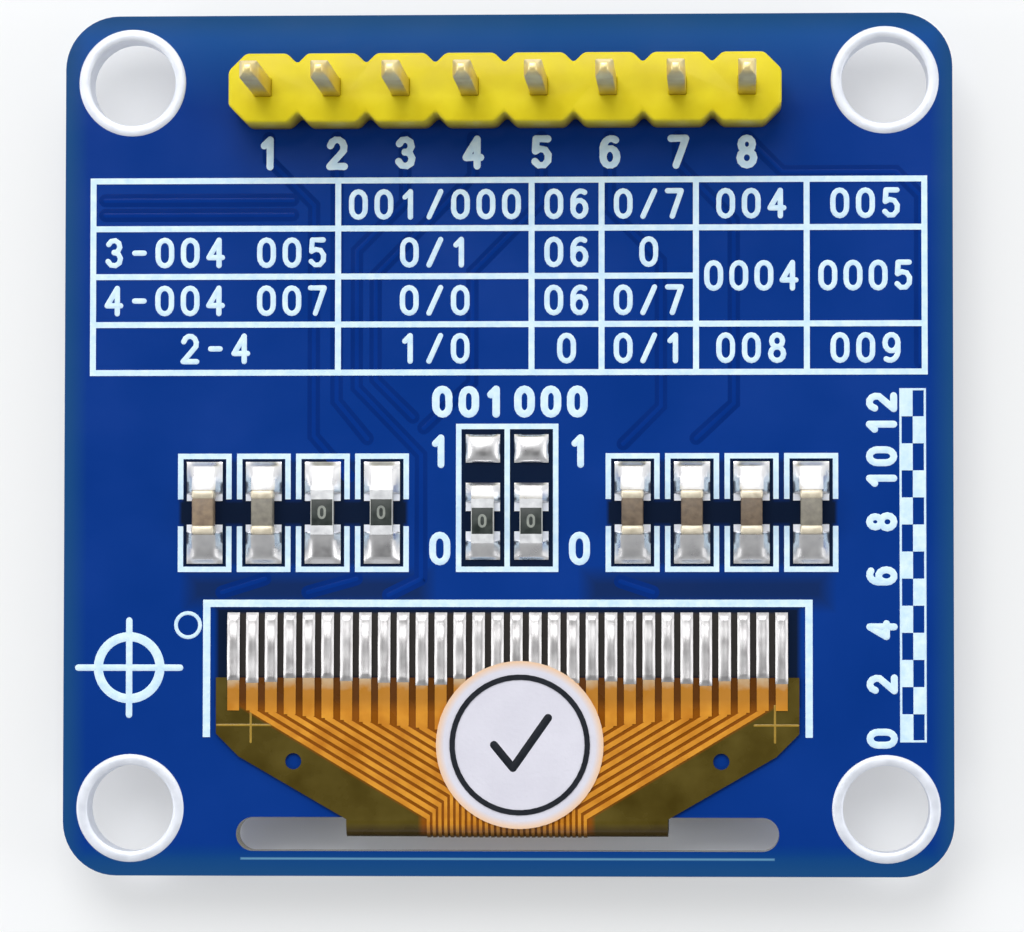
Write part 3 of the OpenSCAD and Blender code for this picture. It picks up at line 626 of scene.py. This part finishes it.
top = cushion(HOLE_R, RING_R, face_z, ring_top)
under = [(r, board_low.z - (z - face_z)) for r, z in reversed(top)]
profile = top + [(HOLE_R + WALL, face_z), (HOLE_R + WALL, board_low.z)] + under
rings = bmesh.new()
for place in hole_places:
    spin_profile(rings, profile, place)
close_up(rings)
make_piece(rings, "mounting_rings", tin, ["hole_plating"])

# %% [markdown]
# ## Chips
#
# A ceramic capacitor is a tumbled block with metal caps dipped onto both ends, so everything is well
# rounded and the caps stand a little proud. Rounded blocks fill the boxes of its CAD solids. A chip
# resistor is a white slab with wrapped end bands and a dark glaze on top. Its slab and glaze are
# softened copies of the CAD solids, and its bands stay as they are.

# %% Capacitors
CAP_LEN, CAP_LAP = 0.34 * MM, 0.04 * MM
CAP_FINISHES = [brown_ceramic, grey_ceramic, dark_ceramic, dark_ceramic, dark_ceramic, grey_ceramic]
proud = Vector((0.02, 0, 0.02)) * MM
reach = Vector((0, CAP_LEN - CAP_LAP, 0))
for node, finish in zip(CAPACITORS, CAP_FINISHES):
    low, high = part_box(node + "_terminals")
    ceramic = bmesh.new()
    add_block(ceramic, low + proud + reach, high - proud - reach, 0.07 * MM)
    make_piece(ceramic, node + "_ceramic", finish, [node + "_body"])
    caps = bmesh.new()
    for start in (low.y, high.y - CAP_LEN):
        add_block(caps, (low.x, start, low.z), (high.x, start + CAP_LEN, high.z), 0.09 * MM, 3)
    make_piece(caps, node + "_caps", cap_metal, [node + "_terminals"])

# %% Resistors and links
for node in RESISTORS:
    slab = soften(whole_faced_copy(node + "_body"), 0.03 * MM)
    make_piece(slab, node + "_slab", white_ceramic, [node + "_body"])
    cover = soften(whole_faced_copy(node + "_glaze"), 0.03 * MM, 3)
    make_piece(cover, node + "_cover", dark_glaze, [node + "_glaze"])

# %% [markdown]
# ## Solder on the chips
#
# Melted solder climbs the metal end of a chip and runs out hollow to the edge of its pad, and its sides
# fall away as well. It is a skin over a rectangle: a flat grid is extruded, and the points of the upper
# copy are lifted by a height rule. The grid below and the sides between them make each joint a closed
# body.

# %% A lifted grid


def add_skin(bm, low, high, base, height, columns=12, rows=18):
    """A closed body over a rectangle. height(u, v) and base(v) are in metres, with u and v from 0 to 1"""
    first = len(bm.faces)
    under = bmesh.ops.create_grid(bm, x_segments=columns, y_segments=rows, size=0.5)["verts"]
    bm.faces.ensure_lookup_table()
    lifted = bmesh.ops.extrude_face_region(bm, geom=bm.faces[first:], use_keep_orig=True)["geom"]
    upper = [part for part in lifted if isinstance(part, bmesh.types.BMVert)]
    for vert in upper:
        vert.co.z = height(vert.co.x + 0.5, vert.co.y + 0.5)
    for vert in under + upper:
        vert.co.z += base(vert.co.y + 0.5)
        vert.co.x = low[0] + (vert.co.x + 0.5) * (high[0] - low[0])
        vert.co.y = low[1] + (vert.co.y + 0.5) * (high[1] - low[1])


def smooth_step(low, high, value):
    part = min(max((value - low) / (high - low), 0.0), 1.0)
    return part * part * (3 - 2 * part)


def on_pad(_):
    return pad_z


# %% Fillets at the chips' ends
LIP = 0.06 * MM


def fillet(rise, half_pad, half_chip, reach, tuck):
    """The height of a joint: v runs from under the chip, v = 0, to the pad's end, v = 1"""

    def height(u, v):
        across = abs(2 * u - 1)
        away = (v * (reach + tuck) - tuck) / reach
        side = 1 - smooth_step(half_chip / half_pad * 0.9, 1.0, across)
        slope = 0.78 - 0.56 * away + 0.22 * (1 - away) ** 4
        climb = slope * (1 - smooth_step(0.8, 1.0, away)) if away > 0 else 1 - (away * reach / tuck) ** 2
        lip = LIP * math.sqrt(max(1 - across**4, 0)) * (1 - smooth_step(0.9, 1.0, v))
        return max(rise * climb * side + lip, 0.004 * MM)

    return height


def add_joints(bm, middle, half_chip_len, pad_end, pad_w, chip_w, rise, tuck):
    """The joints at both ends of a chip, each from a little under it to the end of its pad"""
    for side in (-1, 1):
        rule = fillet(rise, pad_w / 2, chip_w / 2, pad_end - half_chip_len, tuck)
        start, end = middle.y + side * (half_chip_len - tuck), middle.y + side * pad_end
        left, right = middle.x - pad_w / 2, middle.x + pad_w / 2
        add_skin(bm, (left, start), (right, end), on_pad, rule)


CHIP_PADS, LINK_PADS = (3.78, 1.33), (2.85, 1.27)
CAPACITOR_RISE, RESISTOR_RISE = 0.5 * MM, 0.34 * MM
TUCK = 0.12 * MM
joints = bmesh.new()
for node in CAPACITORS + RESISTORS:
    low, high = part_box(node + "_terminals")
    pads_long, pad_w = LINK_PADS if node.startswith("link") else CHIP_PADS
    rise = CAPACITOR_RISE if node.startswith("capacitor") else RESISTOR_RISE
    half_len, chip_w = (high.y - low.y) / 2, high.x - low.x
    add_joints(joints, (low + high) / 2, half_len, pads_long / 2 * MM, pad_w * MM, chip_w, rise, TUCK)

# %% Domes on the open link pads
DOME_RISE = 0.22 * MM
OPEN_PADS = [(-0.9 * MM, -0.171 * MM), (0.9 * MM, -0.171 * MM)]
HALF_PAD_W, HALF_PAD_LEN = 0.635 * MM, 0.525 * MM


def dome(u, v):
    across, along = abs(2 * u - 1), abs(2 * v - 1)
    return DOME_RISE * (max(1 - across**2.4, 0) * max(1 - along**2.4, 0)) ** 0.5 + 0.01 * MM


for x_pad, y_pad in OPEN_PADS:
    low, high = (x_pad - HALF_PAD_W, y_pad - HALF_PAD_LEN), (x_pad + HALF_PAD_W, y_pad + HALF_PAD_LEN)
    add_skin(joints, low, high, on_pad, dome, 16, 14)
bmesh.ops.recalc_face_normals(joints, faces=joints.faces)
make_piece(joints, "chip_joints", solder, ["chip_solder"])

# %% [markdown]
# ## Solder on the flex tail's fingers
#
# Each finger is flooded with solder that stands highest along its two edges, with a shallow valley
# between them, and it creeps a little way over the end of the film. How far it creeps differs from
# finger to finger, so each gets its own seeded lengths.

# %% Thirty soldered fingers
finger_low, finger_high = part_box("flex_fingers")
pad_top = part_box("flex_pads")[1].y
FINGERS, FINGER_W, SKIN_W = 30, 0.44 * MM, 0.46 * MM
pitch = (finger_high.x - finger_low.x - FINGER_W) / (FINGERS - 1)
film_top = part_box("flex_traces")[1].z


def finger_skin(wave, finger_end):
    """Two low ridges with a valley between them. The solder lies on the finger as far as v = finger_end"""

    def base(v):
        return film_top if v < finger_end else pad_z

    def height(u, v):
        across = abs(2 * u - 1)
        ridge = 0.018 * math.exp(-(((across - 0.5) / 0.3) ** 2)) + 0.05 * (1 - across**3)
        ends = smooth_step(0.0, 0.04, v) * (1 - smooth_step(0.93, 1.0, v))
        swell = 0.86 + 0.14 * math.sin(v * 11 + wave)
        fill = film_top - 0.05 * MM * smooth_step(finger_end - 0.1, 0.9, v) - base(v)
        return fill * ends + (ridge * swell * ends + 0.004) * MM

    return height, base


solder_skin = bmesh.new()
for number in range(FINGERS):
    x_mid = finger_low.x + FINGER_W / 2 + number * pitch
    creep = random.uniform(0.0, 0.3) * MM
    low = (x_mid - SKIN_W / 2, finger_low.y - creep)
    high = (x_mid + SKIN_W / 2, pad_top + 0.02 * MM)
    wave = random.uniform(0, math.tau)
    height, base = finger_skin(wave, (finger_high.y + 0.03 * MM - low[1]) / (high[1] - low[1]))
    add_skin(solder_skin, low, high, base, height, 8, 24)
bmesh.ops.recalc_face_normals(solder_skin, faces=solder_skin.faces)
make_piece(solder_skin, "finger_solder", finger_tin)

# %% [markdown]
# ## The header's solder
#
# On the far side of the board each pin stands in a hollow cone of solder. A spun profile makes it.

# %% Cones round the pin stubs
CONE_R, CONE_FLARE, CONE_STEPS = 0.47 * MM, 0.38 * MM, 8
cone_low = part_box("header_solder")[0].z
cone_high = board_low.z - 0.05 * MM
profile = []
for step in range(CONE_STEPS + 1):
    part = step / CONE_STEPS
    profile.append((CONE_R + CONE_FLARE * part**1.8, cone_low + (cone_high - cone_low) * part))
profile.append((CONE_R, cone_high))
cones = bmesh.new()
for node in PINS:
    middle = centre(node)
    spin_profile(cones, profile, (middle.x, middle.y), 32)
close_up(cones)
make_piece(cones, "pin_joints", solder, ["header_solder"])

# %% [markdown]
# ## Strokes: print, ink and tracks
#
# Letters on a circuit board are drawn by a plotter pen of one width with round ends. A poly curve with a
# round bevel is that pen. A path is broken where it turns sharply, so that no corner is pinched, and each
# open run gets a few points past its ends where the radius falls to nothing, which makes them round. The
# curve is made a mesh, pressed flat and put in place. The same pen draws the numerals, the marks and the
# tracks under the lacquer.

# %% A pen of one width
PRINT_T = 0.05 * MM
SHARP_TURN = math.radians(50)
ROUND_END = [(math.sin(turn), math.cos(turn)) for turn in map(math.radians, (30, 60, 88))]


def split_at_corners(points):
    """Breaks a path where it turns sharply, so that each run keeps its full width"""
    runs, run = [], [points[0]]
    for before, here, after in zip(points, points[1:], points[2:]):
        run.append(here)
        turn = (Vector(here) - Vector(before)).angle(Vector(after) - Vector(here))
        if turn > SHARP_TURN:
            runs.append(run)
            run = [here]
    return runs + [run + [points[-1]]]


def add_run(curve, run, width, closed):
    """One smooth run of the pen. An open run gets round ends from points whose radius falls to nothing"""
    first, last = Vector(run[0]), Vector(run[-1])
    run = [(Vector(point), 1.0) for point in run]
    if not closed:
        out_first = (first - run[1][0]).normalized() * width / 2
        out_last = (last - run[-2][0]).normalized() * width / 2
        run = [(first + out_first * far, size) for far, size in reversed(ROUND_END)] + run
        run += [(last + out_last * far, size) for far, size in ROUND_END]
    line = curve.splines.new("POLY")
    line.points.add(len(run) - 1)
    line.use_cyclic_u = closed
    for point, (place, size) in zip(line.points, run):
        point.co = (place.x, place.y, 0, 1)
        point.radius = size


def draw(bm, strokes, width, z, thick):
    """Adds round-ended strokes, given as lists of (x, y) in metres, pressed flat to a thickness"""
    curve = bpy.data.curves.new("stroke", "CURVE")
    curve.dimensions = "3D"
    curve.bevel_depth = width / 2
    curve.bevel_resolution = 2
    curve.use_fill_caps = True
    for points in strokes:
        if points[0] == points[-1]:
            add_run(curve, points[:-1], width, True)
            continue
        for run in split_at_corners(points):
            add_run(curve, run, width, False)
    holder = add_object("stroke", curve)
    depsgraph = bpy.context.evaluated_depsgraph_get()
    mesh = bpy.data.meshes.new_from_object(holder.evaluated_get(depsgraph))
    mesh.transform(Matrix.Translation((0, 0, z)) @ Matrix.Diagonal((1, 1, thick / width, 1)))
    bm.from_mesh(mesh)
    bpy.data.objects.remove(holder)
    bpy.data.curves.remove(curve)
    bpy.data.meshes.remove(mesh)


def print_lines(bm, strokes, width):
    """White print on the board's face, by a pen whose width is in millimetres"""
    draw(bm, strokes, width * MM, face_z, PRINT_T)


def in_metres(lines):
    return [[(px * MM, py * MM) for px, py in line] for line in lines]


# %% Numerals in a box of four by six


def arc(x, y, rx, ry, start, end, steps=6):
    """Points on an oval about (x, y), from one angle to another in degrees"""
    turns = [math.radians(start + (end - start) * step / steps) for step in range(steps + 1)]
    return [(x + rx * math.cos(turn), y + ry * math.sin(turn)) for turn in turns]


NOUGHT = arc(2, 4, 2, 2, 0, 180, 8) + arc(2, 2, 2, 2, 180, 360, 8)
GLYPHS = {
    "0": [NOUGHT + NOUGHT[:1]],
    "1": [[(0.7, 4.7), (2.3, 6)], [(2.3, 6), (2.3, 0)]],
    "2": [arc(2, 4.2, 1.9, 1.8, 165, -20) + [(0, 0)], [(0, 0), (4, 0)]],
    "3": [arc(2, 4.55, 1.7, 1.45, 160, -90), arc(2, 1.6, 1.9, 1.6, 90, -160)],
    "4": [[(3, 0), (3, 6)], [(3, 6), (0, 1.9)], [(0, 1.9), (4, 1.9)]],
    "5": [[(3.7, 6), (0.5, 6)], [(0.5, 6), (0.3, 3.3)], [(0.3, 3.3)] + arc(1.9, 1.9, 2, 1.9, 100, -150)],
    "6": [arc(2, 1.9, 1.9, 1.9, 0, 360, 14), [(0.15, 2.3)] + arc(2.4, 3.6, 2.3, 2.4, 170, 60)],
    "7": [[(0, 6), (4, 6)], [(4, 6), (1.4, 0)]],
    "8": [arc(2, 4.6, 1.6, 1.4, -90, 270, 12), arc(2, 1.6, 1.9, 1.6, 90, 450, 12)],
    "9": [arc(2, 4.1, 1.9, 1.9, 0, 360, 14), [(3.85, 3.7)] + arc(1.6, 2.4, 2.3, 2.4, -10, -120)],
    "/": [[(0.3, 0), (3.7, 6)]],
    "-": [[(0.6, 3), (3.4, 3)]],
    " ": [],
}


def lettering(text, x, y, height, pitch, wide=0.8, turned=0):
    """The strokes of a number centred on (x, y). Height and pitch are in millimetres"""
    unit = height / 6
    spin = Matrix.Rotation(math.radians(turned), 2)
    strokes = []
    for number, sign in enumerate(text):
        middle = (number - (len(text) - 1) / 2) * pitch
        for stroke in GLYPHS[sign]:
            points = [spin @ Vector((middle + (gx - 2) * unit * wide, (gy - 3) * unit)) for gx, gy in stroke]
            strokes.append([((x + p.x) * MM, (y + p.y) * MM) for p in points])
    return strokes


# %% The numbers that fill the table
COLUMN_X = [-10.875, -2.7, 2.2, 5.25, 9.05, 13.275]
ROW_Y = [8.925, 7.135, 5.345, 3.555]
ROWS = [
    ["", "001/000", "06", "0/7", "004", "005"],
    ["3-004 005", "0/1", "06", "0"],
    ["4-004 007", "0/0", "06", "0/7"],
    ["2-4", "1/0", "0", "0/1", "008", "009"],
]
TALL_CELLS = {4: "0004", 5: "0005"}
table_strokes = []
for row_y, row in zip(ROW_Y, ROWS):
    for column_x, text in zip(COLUMN_X, row):
        table_strokes += lettering(text, column_x, row_y, 0.95, 0.95)
for column, text in TALL_CELLS.items():
    table_strokes += lettering(text, COLUMN_X[column], (ROW_Y[1] + ROW_Y[2]) / 2, 0.95, 0.93)
numerals = bmesh.new()
print_lines(numerals, table_strokes, 0.2)

# %% Pin numbers and link numbers
bold = []
for number, node in enumerate(PINS, 1):
    bold += lettering(str(number), centre(node).x / MM, 10.85, 1.0, 0)
for x_mark, text in ((-1.43, "001"), (1.62, "000")):
    bold += lettering(text, x_mark, 1.57, 0.92, 0.98)
print_lines(numerals, bold, 0.28)
beside = []
for x_mark in (-2.5, 2.68):
    beside += lettering("1", x_mark, -0.27, 1.0, 0) + lettering("0", x_mark, -3.88, 1.0, 0)
print_lines(numerals, beside, 0.25)
make_piece(numerals, "printed_numbers", print_white)

# %% [markdown]
# ## The scale and the target
#
# Beside the chips runs a scale in millimetres, whose filled blocks change sides at each step. Near the
# other edge is a target for the machine that places the parts, with a small circle by the tail's box.
# All are plain printed shapes.

# %% Printed scale
SCALE_X, SCALE_LOW, STEPS, BLOCK = 15.0, -11.0, 13, 0.45
marks = bmesh.new()
for step in range(STEPS):
    left = SCALE_X + (0.0 if step % 2 else -BLOCK)
    low = Vector((left, SCALE_LOW + step, 0)) * MM
    high = Vector((left + BLOCK, SCALE_LOW + step + 1, 0)) * MM
    low.z, high.z = face_z - 0.01 * MM, face_z + 0.025 * MM
    add_block(marks, low, high, 0.006 * MM, 1)
left, right, bottom, top = SCALE_X - BLOCK, SCALE_X + BLOCK, SCALE_LOW, SCALE_LOW + STEPS
outline = [(left, bottom), (right, bottom), (right, top), (left, top), (left, bottom)]
print_lines(marks, in_metres([outline]), 0.12)
scale_numbers = []
for step in range(0, STEPS, 2):
    scale_numbers += lettering(str(step), SCALE_X - 1.15, SCALE_LOW + step + 0.1, 0.9, 0.85, turned=90)
print_lines(marks, scale_numbers, 0.26)

# %% Target mark
TARGET_X, TARGET_Y, ARM_X, ARM_Y = -14.05, -8.3, 1.9, 1.75


def circle(x, y, radius, points=40):
    turns = [math.tau * step / points for step in range(points)]
    ring = [((x + radius * math.cos(t)) * MM, (y + radius * math.sin(t)) * MM) for t in turns]
    return ring + ring[:1]


level = [(TARGET_X - ARM_X, TARGET_Y), (TARGET_X + ARM_X, TARGET_Y)]
upright = [(TARGET_X, TARGET_Y - ARM_Y), (TARGET_X, TARGET_Y + ARM_Y)]
print_lines(marks, in_metres([level, upright]), 0.24)
print_lines(marks, [circle(TARGET_X, TARGET_Y, 1.15)], 0.34)
print_lines(marks, [circle(-11.86, -6.72, 0.45, 24)], 0.14)
make_piece(marks, "printed_marks", print_white)

# %% [markdown]
# ## Tracks under the lacquer
#
# Copper tracks lie under the blue lacquer as low ridges, and a dark gap runs along each side where the
# copper between track and ground is etched away. The pen draws a wide dark stroke first and a narrower,
# higher blue one on top of it. Both finishes shine less than the open lacquer, so that the tracks can
# only just be made out.

# %% The tracks' routes
TRACKS = [
    [(-8.89, 11.4), (-8.89, 10.6), (-7.2, 8.9), (-7.2, 0.3), (-5.9, -1.2)],
    [(-6.35, 11.4), (-6.35, 1.6), (-5.2, 0.2)],
    [(-3.81, 11.4), (-3.81, 9.0), (-5.6, 7.2), (-5.6, 2.1), (-3.2, -0.4), (-3.2, -5.0), (-4.4, -5.6)],
    [(-1.27, 11.4), (-1.27, 10.0), (-4.9, 6.3), (-4.9, 2.4), (-3.5, 1.0)],
    [(1.27, 11.4), (1.27, 9.0), (-1.3, 6.4), (-1.3, 2.3), (-3.1, 0.6)],
    [(3.81, 11.4), (3.81, 8.7), (5.7, 6.8), (5.7, 1.4), (4.3, 0.0)],
    [(6.35, 11.4), (6.35, 10.4), (8.4, 8.3), (8.4, 1.5), (7.0, 0.2)],
    [(8.89, 11.4), (10.2, 10.1), (14.4, 10.1), (15.3, 9.2), (15.3, 3.0)],
    [(-15.0, 9.1), (-8.0, 9.1)],
    [(-15.0, 8.55), (-8.0, 8.55)],
    [(-9.0, -5.0), (-10.6, -5.5)],
    [(-5.6, -5.0), (-7.4, -5.5)],
    [(4.2, -5.1), (5.4, -5.5)],
]
routes = in_metres(TRACKS)
DULL = {**GLOSS, "Specular_IOR_Level": 0.05}
mask_dark = make_finish(
    "lacquer over bare laminate", (0.003, 0.027, 0.19), (0.0025, 0.023, 0.165), 0.003, **DULL
)
gaps = bmesh.new()
draw(gaps, routes, 0.5 * MM, face_z, 0.008 * MM)
make_piece(gaps, "track_gaps", mask_dark)
ridges = bmesh.new()
draw(ridges, routes, 0.2 * MM, face_z, 0.014 * MM)
track_blue = make_finish("lacquer over tracks", (0.003, 0.034, 0.24), (0.0025, 0.029, 0.21), 0.003, **DULL)
make_piece(ridges, "track_ridges", track_blue)

# %% [markdown]
# ## Registration crosses
#
# Each shoulder of the tail carries a fine cross of copper inside the film, by which the maker lines it
# up. One arm runs out to the film's edge.

# %% Registration crosses on the tail's shoulders
CROSS_Y, CROSS_ARM = -10.42, 0.75
film_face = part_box("flex_film")[1].z
buried_copper = make_finish(
    "copper under olive film", (0.4, 0.25, 0.025), (0.28, 0.16, 0.012), 0.0006, (0.3, 0.4)
)
crosses = bmesh.new()
for x_cross, outer in ((-9.5, -10.75), (9.9, 10.75)):
    upright = [(x_cross, -11.05), (x_cross, -9.7)]
    level = [(x_cross - math.copysign(CROSS_ARM, outer), CROSS_Y), (outer, CROSS_Y)]
    draw(crosses, in_metres([upright, level]), 0.08 * MM, film_face, 0.012 * MM)
make_piece(crosses, "registration_crosses", buried_copper)

# %% [markdown]
# ## Marks on the sticker and the chips
#
# The inspection sticker carries a plain tick inside its ring. The dark chips are zero-ohm parts or carry
# a code, and a nought in a pale ink is what such chips show.

# %% Tick and noughts
TICK = [(-0.95, 0.0), (-0.25, -0.85), (1.05, 1.0)]
sticker_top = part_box("sticker")[1].z
spot = centre("sticker")
mark = bmesh.new()
draw(mark, [[(px * MM + spot.x, py * MM + spot.y) for px, py in TICK]], 0.3 * MM, sticker_top, PRINT_T)
make_piece(mark, "sticker_tick", ink)
chip_ink = make_finish("chip ink", (0.3, 0.32, 0.28), (0.2, 0.22, 0.2), 0.0003, (0.5, 0.7))
noughts = bmesh.new()
for node in RESISTORS:
    low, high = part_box(node + "_glaze")
    middle = (low + high) / 2
    draw(noughts, lettering("0", middle.x / MM, middle.y / MM, 0.42, 0), 0.09 * MM, high.z, 0.01 * MM)
make_piece(noughts, "chip_noughts", chip_ink)

# %% [markdown]
# ## Floor and lamps
#
# The floor is a plain pale sheet whose paleness is its own colour together with a pale glow that camera,
# glossy and transmission rays see, so it keeps the object's shadow. Under the slot most of that glow is
# taken away, a painted shade. The light is that of a table-top studio: a large soft lamp beyond the
# header's side, weaker ones at both sides, and a pale surround that is dark right overhead, where the
# camera looks through. Flat glossy faces reflect that dark spot, and curved tin reflects the bright surround.

# %% Floor
FLOOR_HALF, FLOOR_DROP = 3.0, 0.02 * MM
matt = {"gloss": (0.6, 0.7), "bumps": (0.0, 0.01)}
floor_finish = make_finish("pale floor", (0.93, 0.94, 0.95), (0.92, 0.93, 0.94), 0.05, **matt)
tree, shader, colour = open_finish(floor_finish)
rays = add_node(tree, "ShaderNodeLightPath").outputs
seen = maths(tree, "MAXIMUM", rays["Is Glossy Ray"], rays["Is Transmission Ray"])
seen = maths(tree, "MAXIMUM", rays["Is Camera Ray"], seen)
pale = add_node(tree, "ShaderNodeEmission", {"Color": (0.98, 0.99, 1.0, 1.0), "Strength": 0.93})
# Painted shade: under the slot most of the floor's glow is taken away, so the floor there is darker
painted_shade_under_slot = rectangle(tree, -10.6, 10.6, -16.2, -13.2, 0.5)
share = maths(tree, "MULTIPLY", seen, maths(tree, "MULTIPLY_ADD", painted_shade_under_slot, -0.4, 0.46))
both = add_node(tree, "ShaderNodeMixShader", {0: share, 1: shader.outputs[0], 2: pale.outputs[0]})
tree.links.new(both.outputs[0], tree.nodes["Material Output"].inputs["Surface"])
bm = bmesh.new()
bmesh.ops.create_grid(bm, x_segments=1, y_segments=1, size=FLOOR_HALF)
bmesh.ops.translate(bm, vec=(0, 0, -FLOOR_DROP), verts=bm.verts)
floor = add_mesh(bm, "floor", floor_finish)

# %% The surround
OVERHEAD = (0.0, -0.09, 0.996)
world = bpy.data.worlds.new("studio")
scene.world = world
world.use_nodes = True
tree = world.node_tree
direction = add_node(tree, "ShaderNodeTexCoord").outputs["Generated"]
x, y, z = add_node(tree, "ShaderNodeSeparateXYZ", {0: direction}).outputs
side = map_range(tree, y, -0.6, 0.6, 0.4, 1.0)
above = map_range(tree, z, 0.1, 0.35)
level = add_node(tree, "ShaderNodeMix", {0: above, 2: 0.8, 3: side}, data_type="FLOAT").outputs[0]
aligned = add_node(tree, "ShaderNodeVectorMath", {0: direction, 1: OVERHEAD}, operation="DOT_PRODUCT")
hole = map_range(tree, aligned.outputs["Value"], 0.88, 0.965)
level = add_node(tree, "ShaderNodeMix", {0: hole, 2: level, 3: 0.05}, data_type="FLOAT").outputs[0]
background = tree.nodes["Background"]
background.inputs["Color"].default_value = (0.97, 0.985, 1.0, 1.0)
tree.links.new(level, background.inputs["Strength"])

# %% Lamps


def softbox(name, azimuth, elevation, distance, width, power):
    """A square lamp that faces the object. Azimuth 0 is beyond the header's side"""
    a, e = math.radians(azimuth), math.radians(elevation)
    away = Vector((math.sin(a) * math.cos(e), math.cos(a) * math.cos(e), math.sin(e)))
    lamp = bpy.data.lights.new(name, "AREA")
    lamp.size = width
    lamp.energy = power
    holder = add_object(name, lamp)
    holder.location = away * distance
    holder.rotation_mode = "QUATERNION"
    holder.rotation_quaternion = away.to_track_quat("Z", "Y")


LAMP_AWAY = 0.4
softbox("key beyond the header", -12, 60, LAMP_AWAY, 0.22, 0.75)
softbox("left fill", -95, 38, LAMP_AWAY, 0.14, 0.2)
softbox("right fill", 95, 38, LAMP_AWAY, 0.14, 0.16)

# %% [markdown]
# ## Camera
#
# A long lens looks down on the component face from 186 mm above it, turned by a few degrees. Its focal
# length is written as a multiple of the sensor's width.

# %% Camera
SENSOR_W, LENS_RATIO = 36.0, 5018.19 / 1024
EYE = (0.17686, -0.81968, 186.106)
turn = (
    Matrix.Rotation(math.radians(0.067), 3, "Z")
    @ Matrix.Rotation(math.radians(-2.543), 3, "Y")
    @ Matrix.Rotation(math.radians(-2.454), 3, "X")
)
lens = bpy.data.cameras.new("camera")
lens.sensor_width = SENSOR_W
lens.lens = SENSOR_W * LENS_RATIO
lens.clip_start, lens.clip_end = 0.01, 10.0
camera = add_object("camera", lens)
eye = turn.transposed() @ (Vector(EYE) * MM) + Vector((0, 0, face_z))
camera.matrix_world = Matrix.Translation(eye) @ turn.transposed().to_4x4()
scene.camera = camera
scene.view_settings.view_transform = "Standard"
print("camera at", [round(v / MM, 1) for v in eye], "mm, lens", round(lens.lens, 1), "mm")

# %% [markdown]
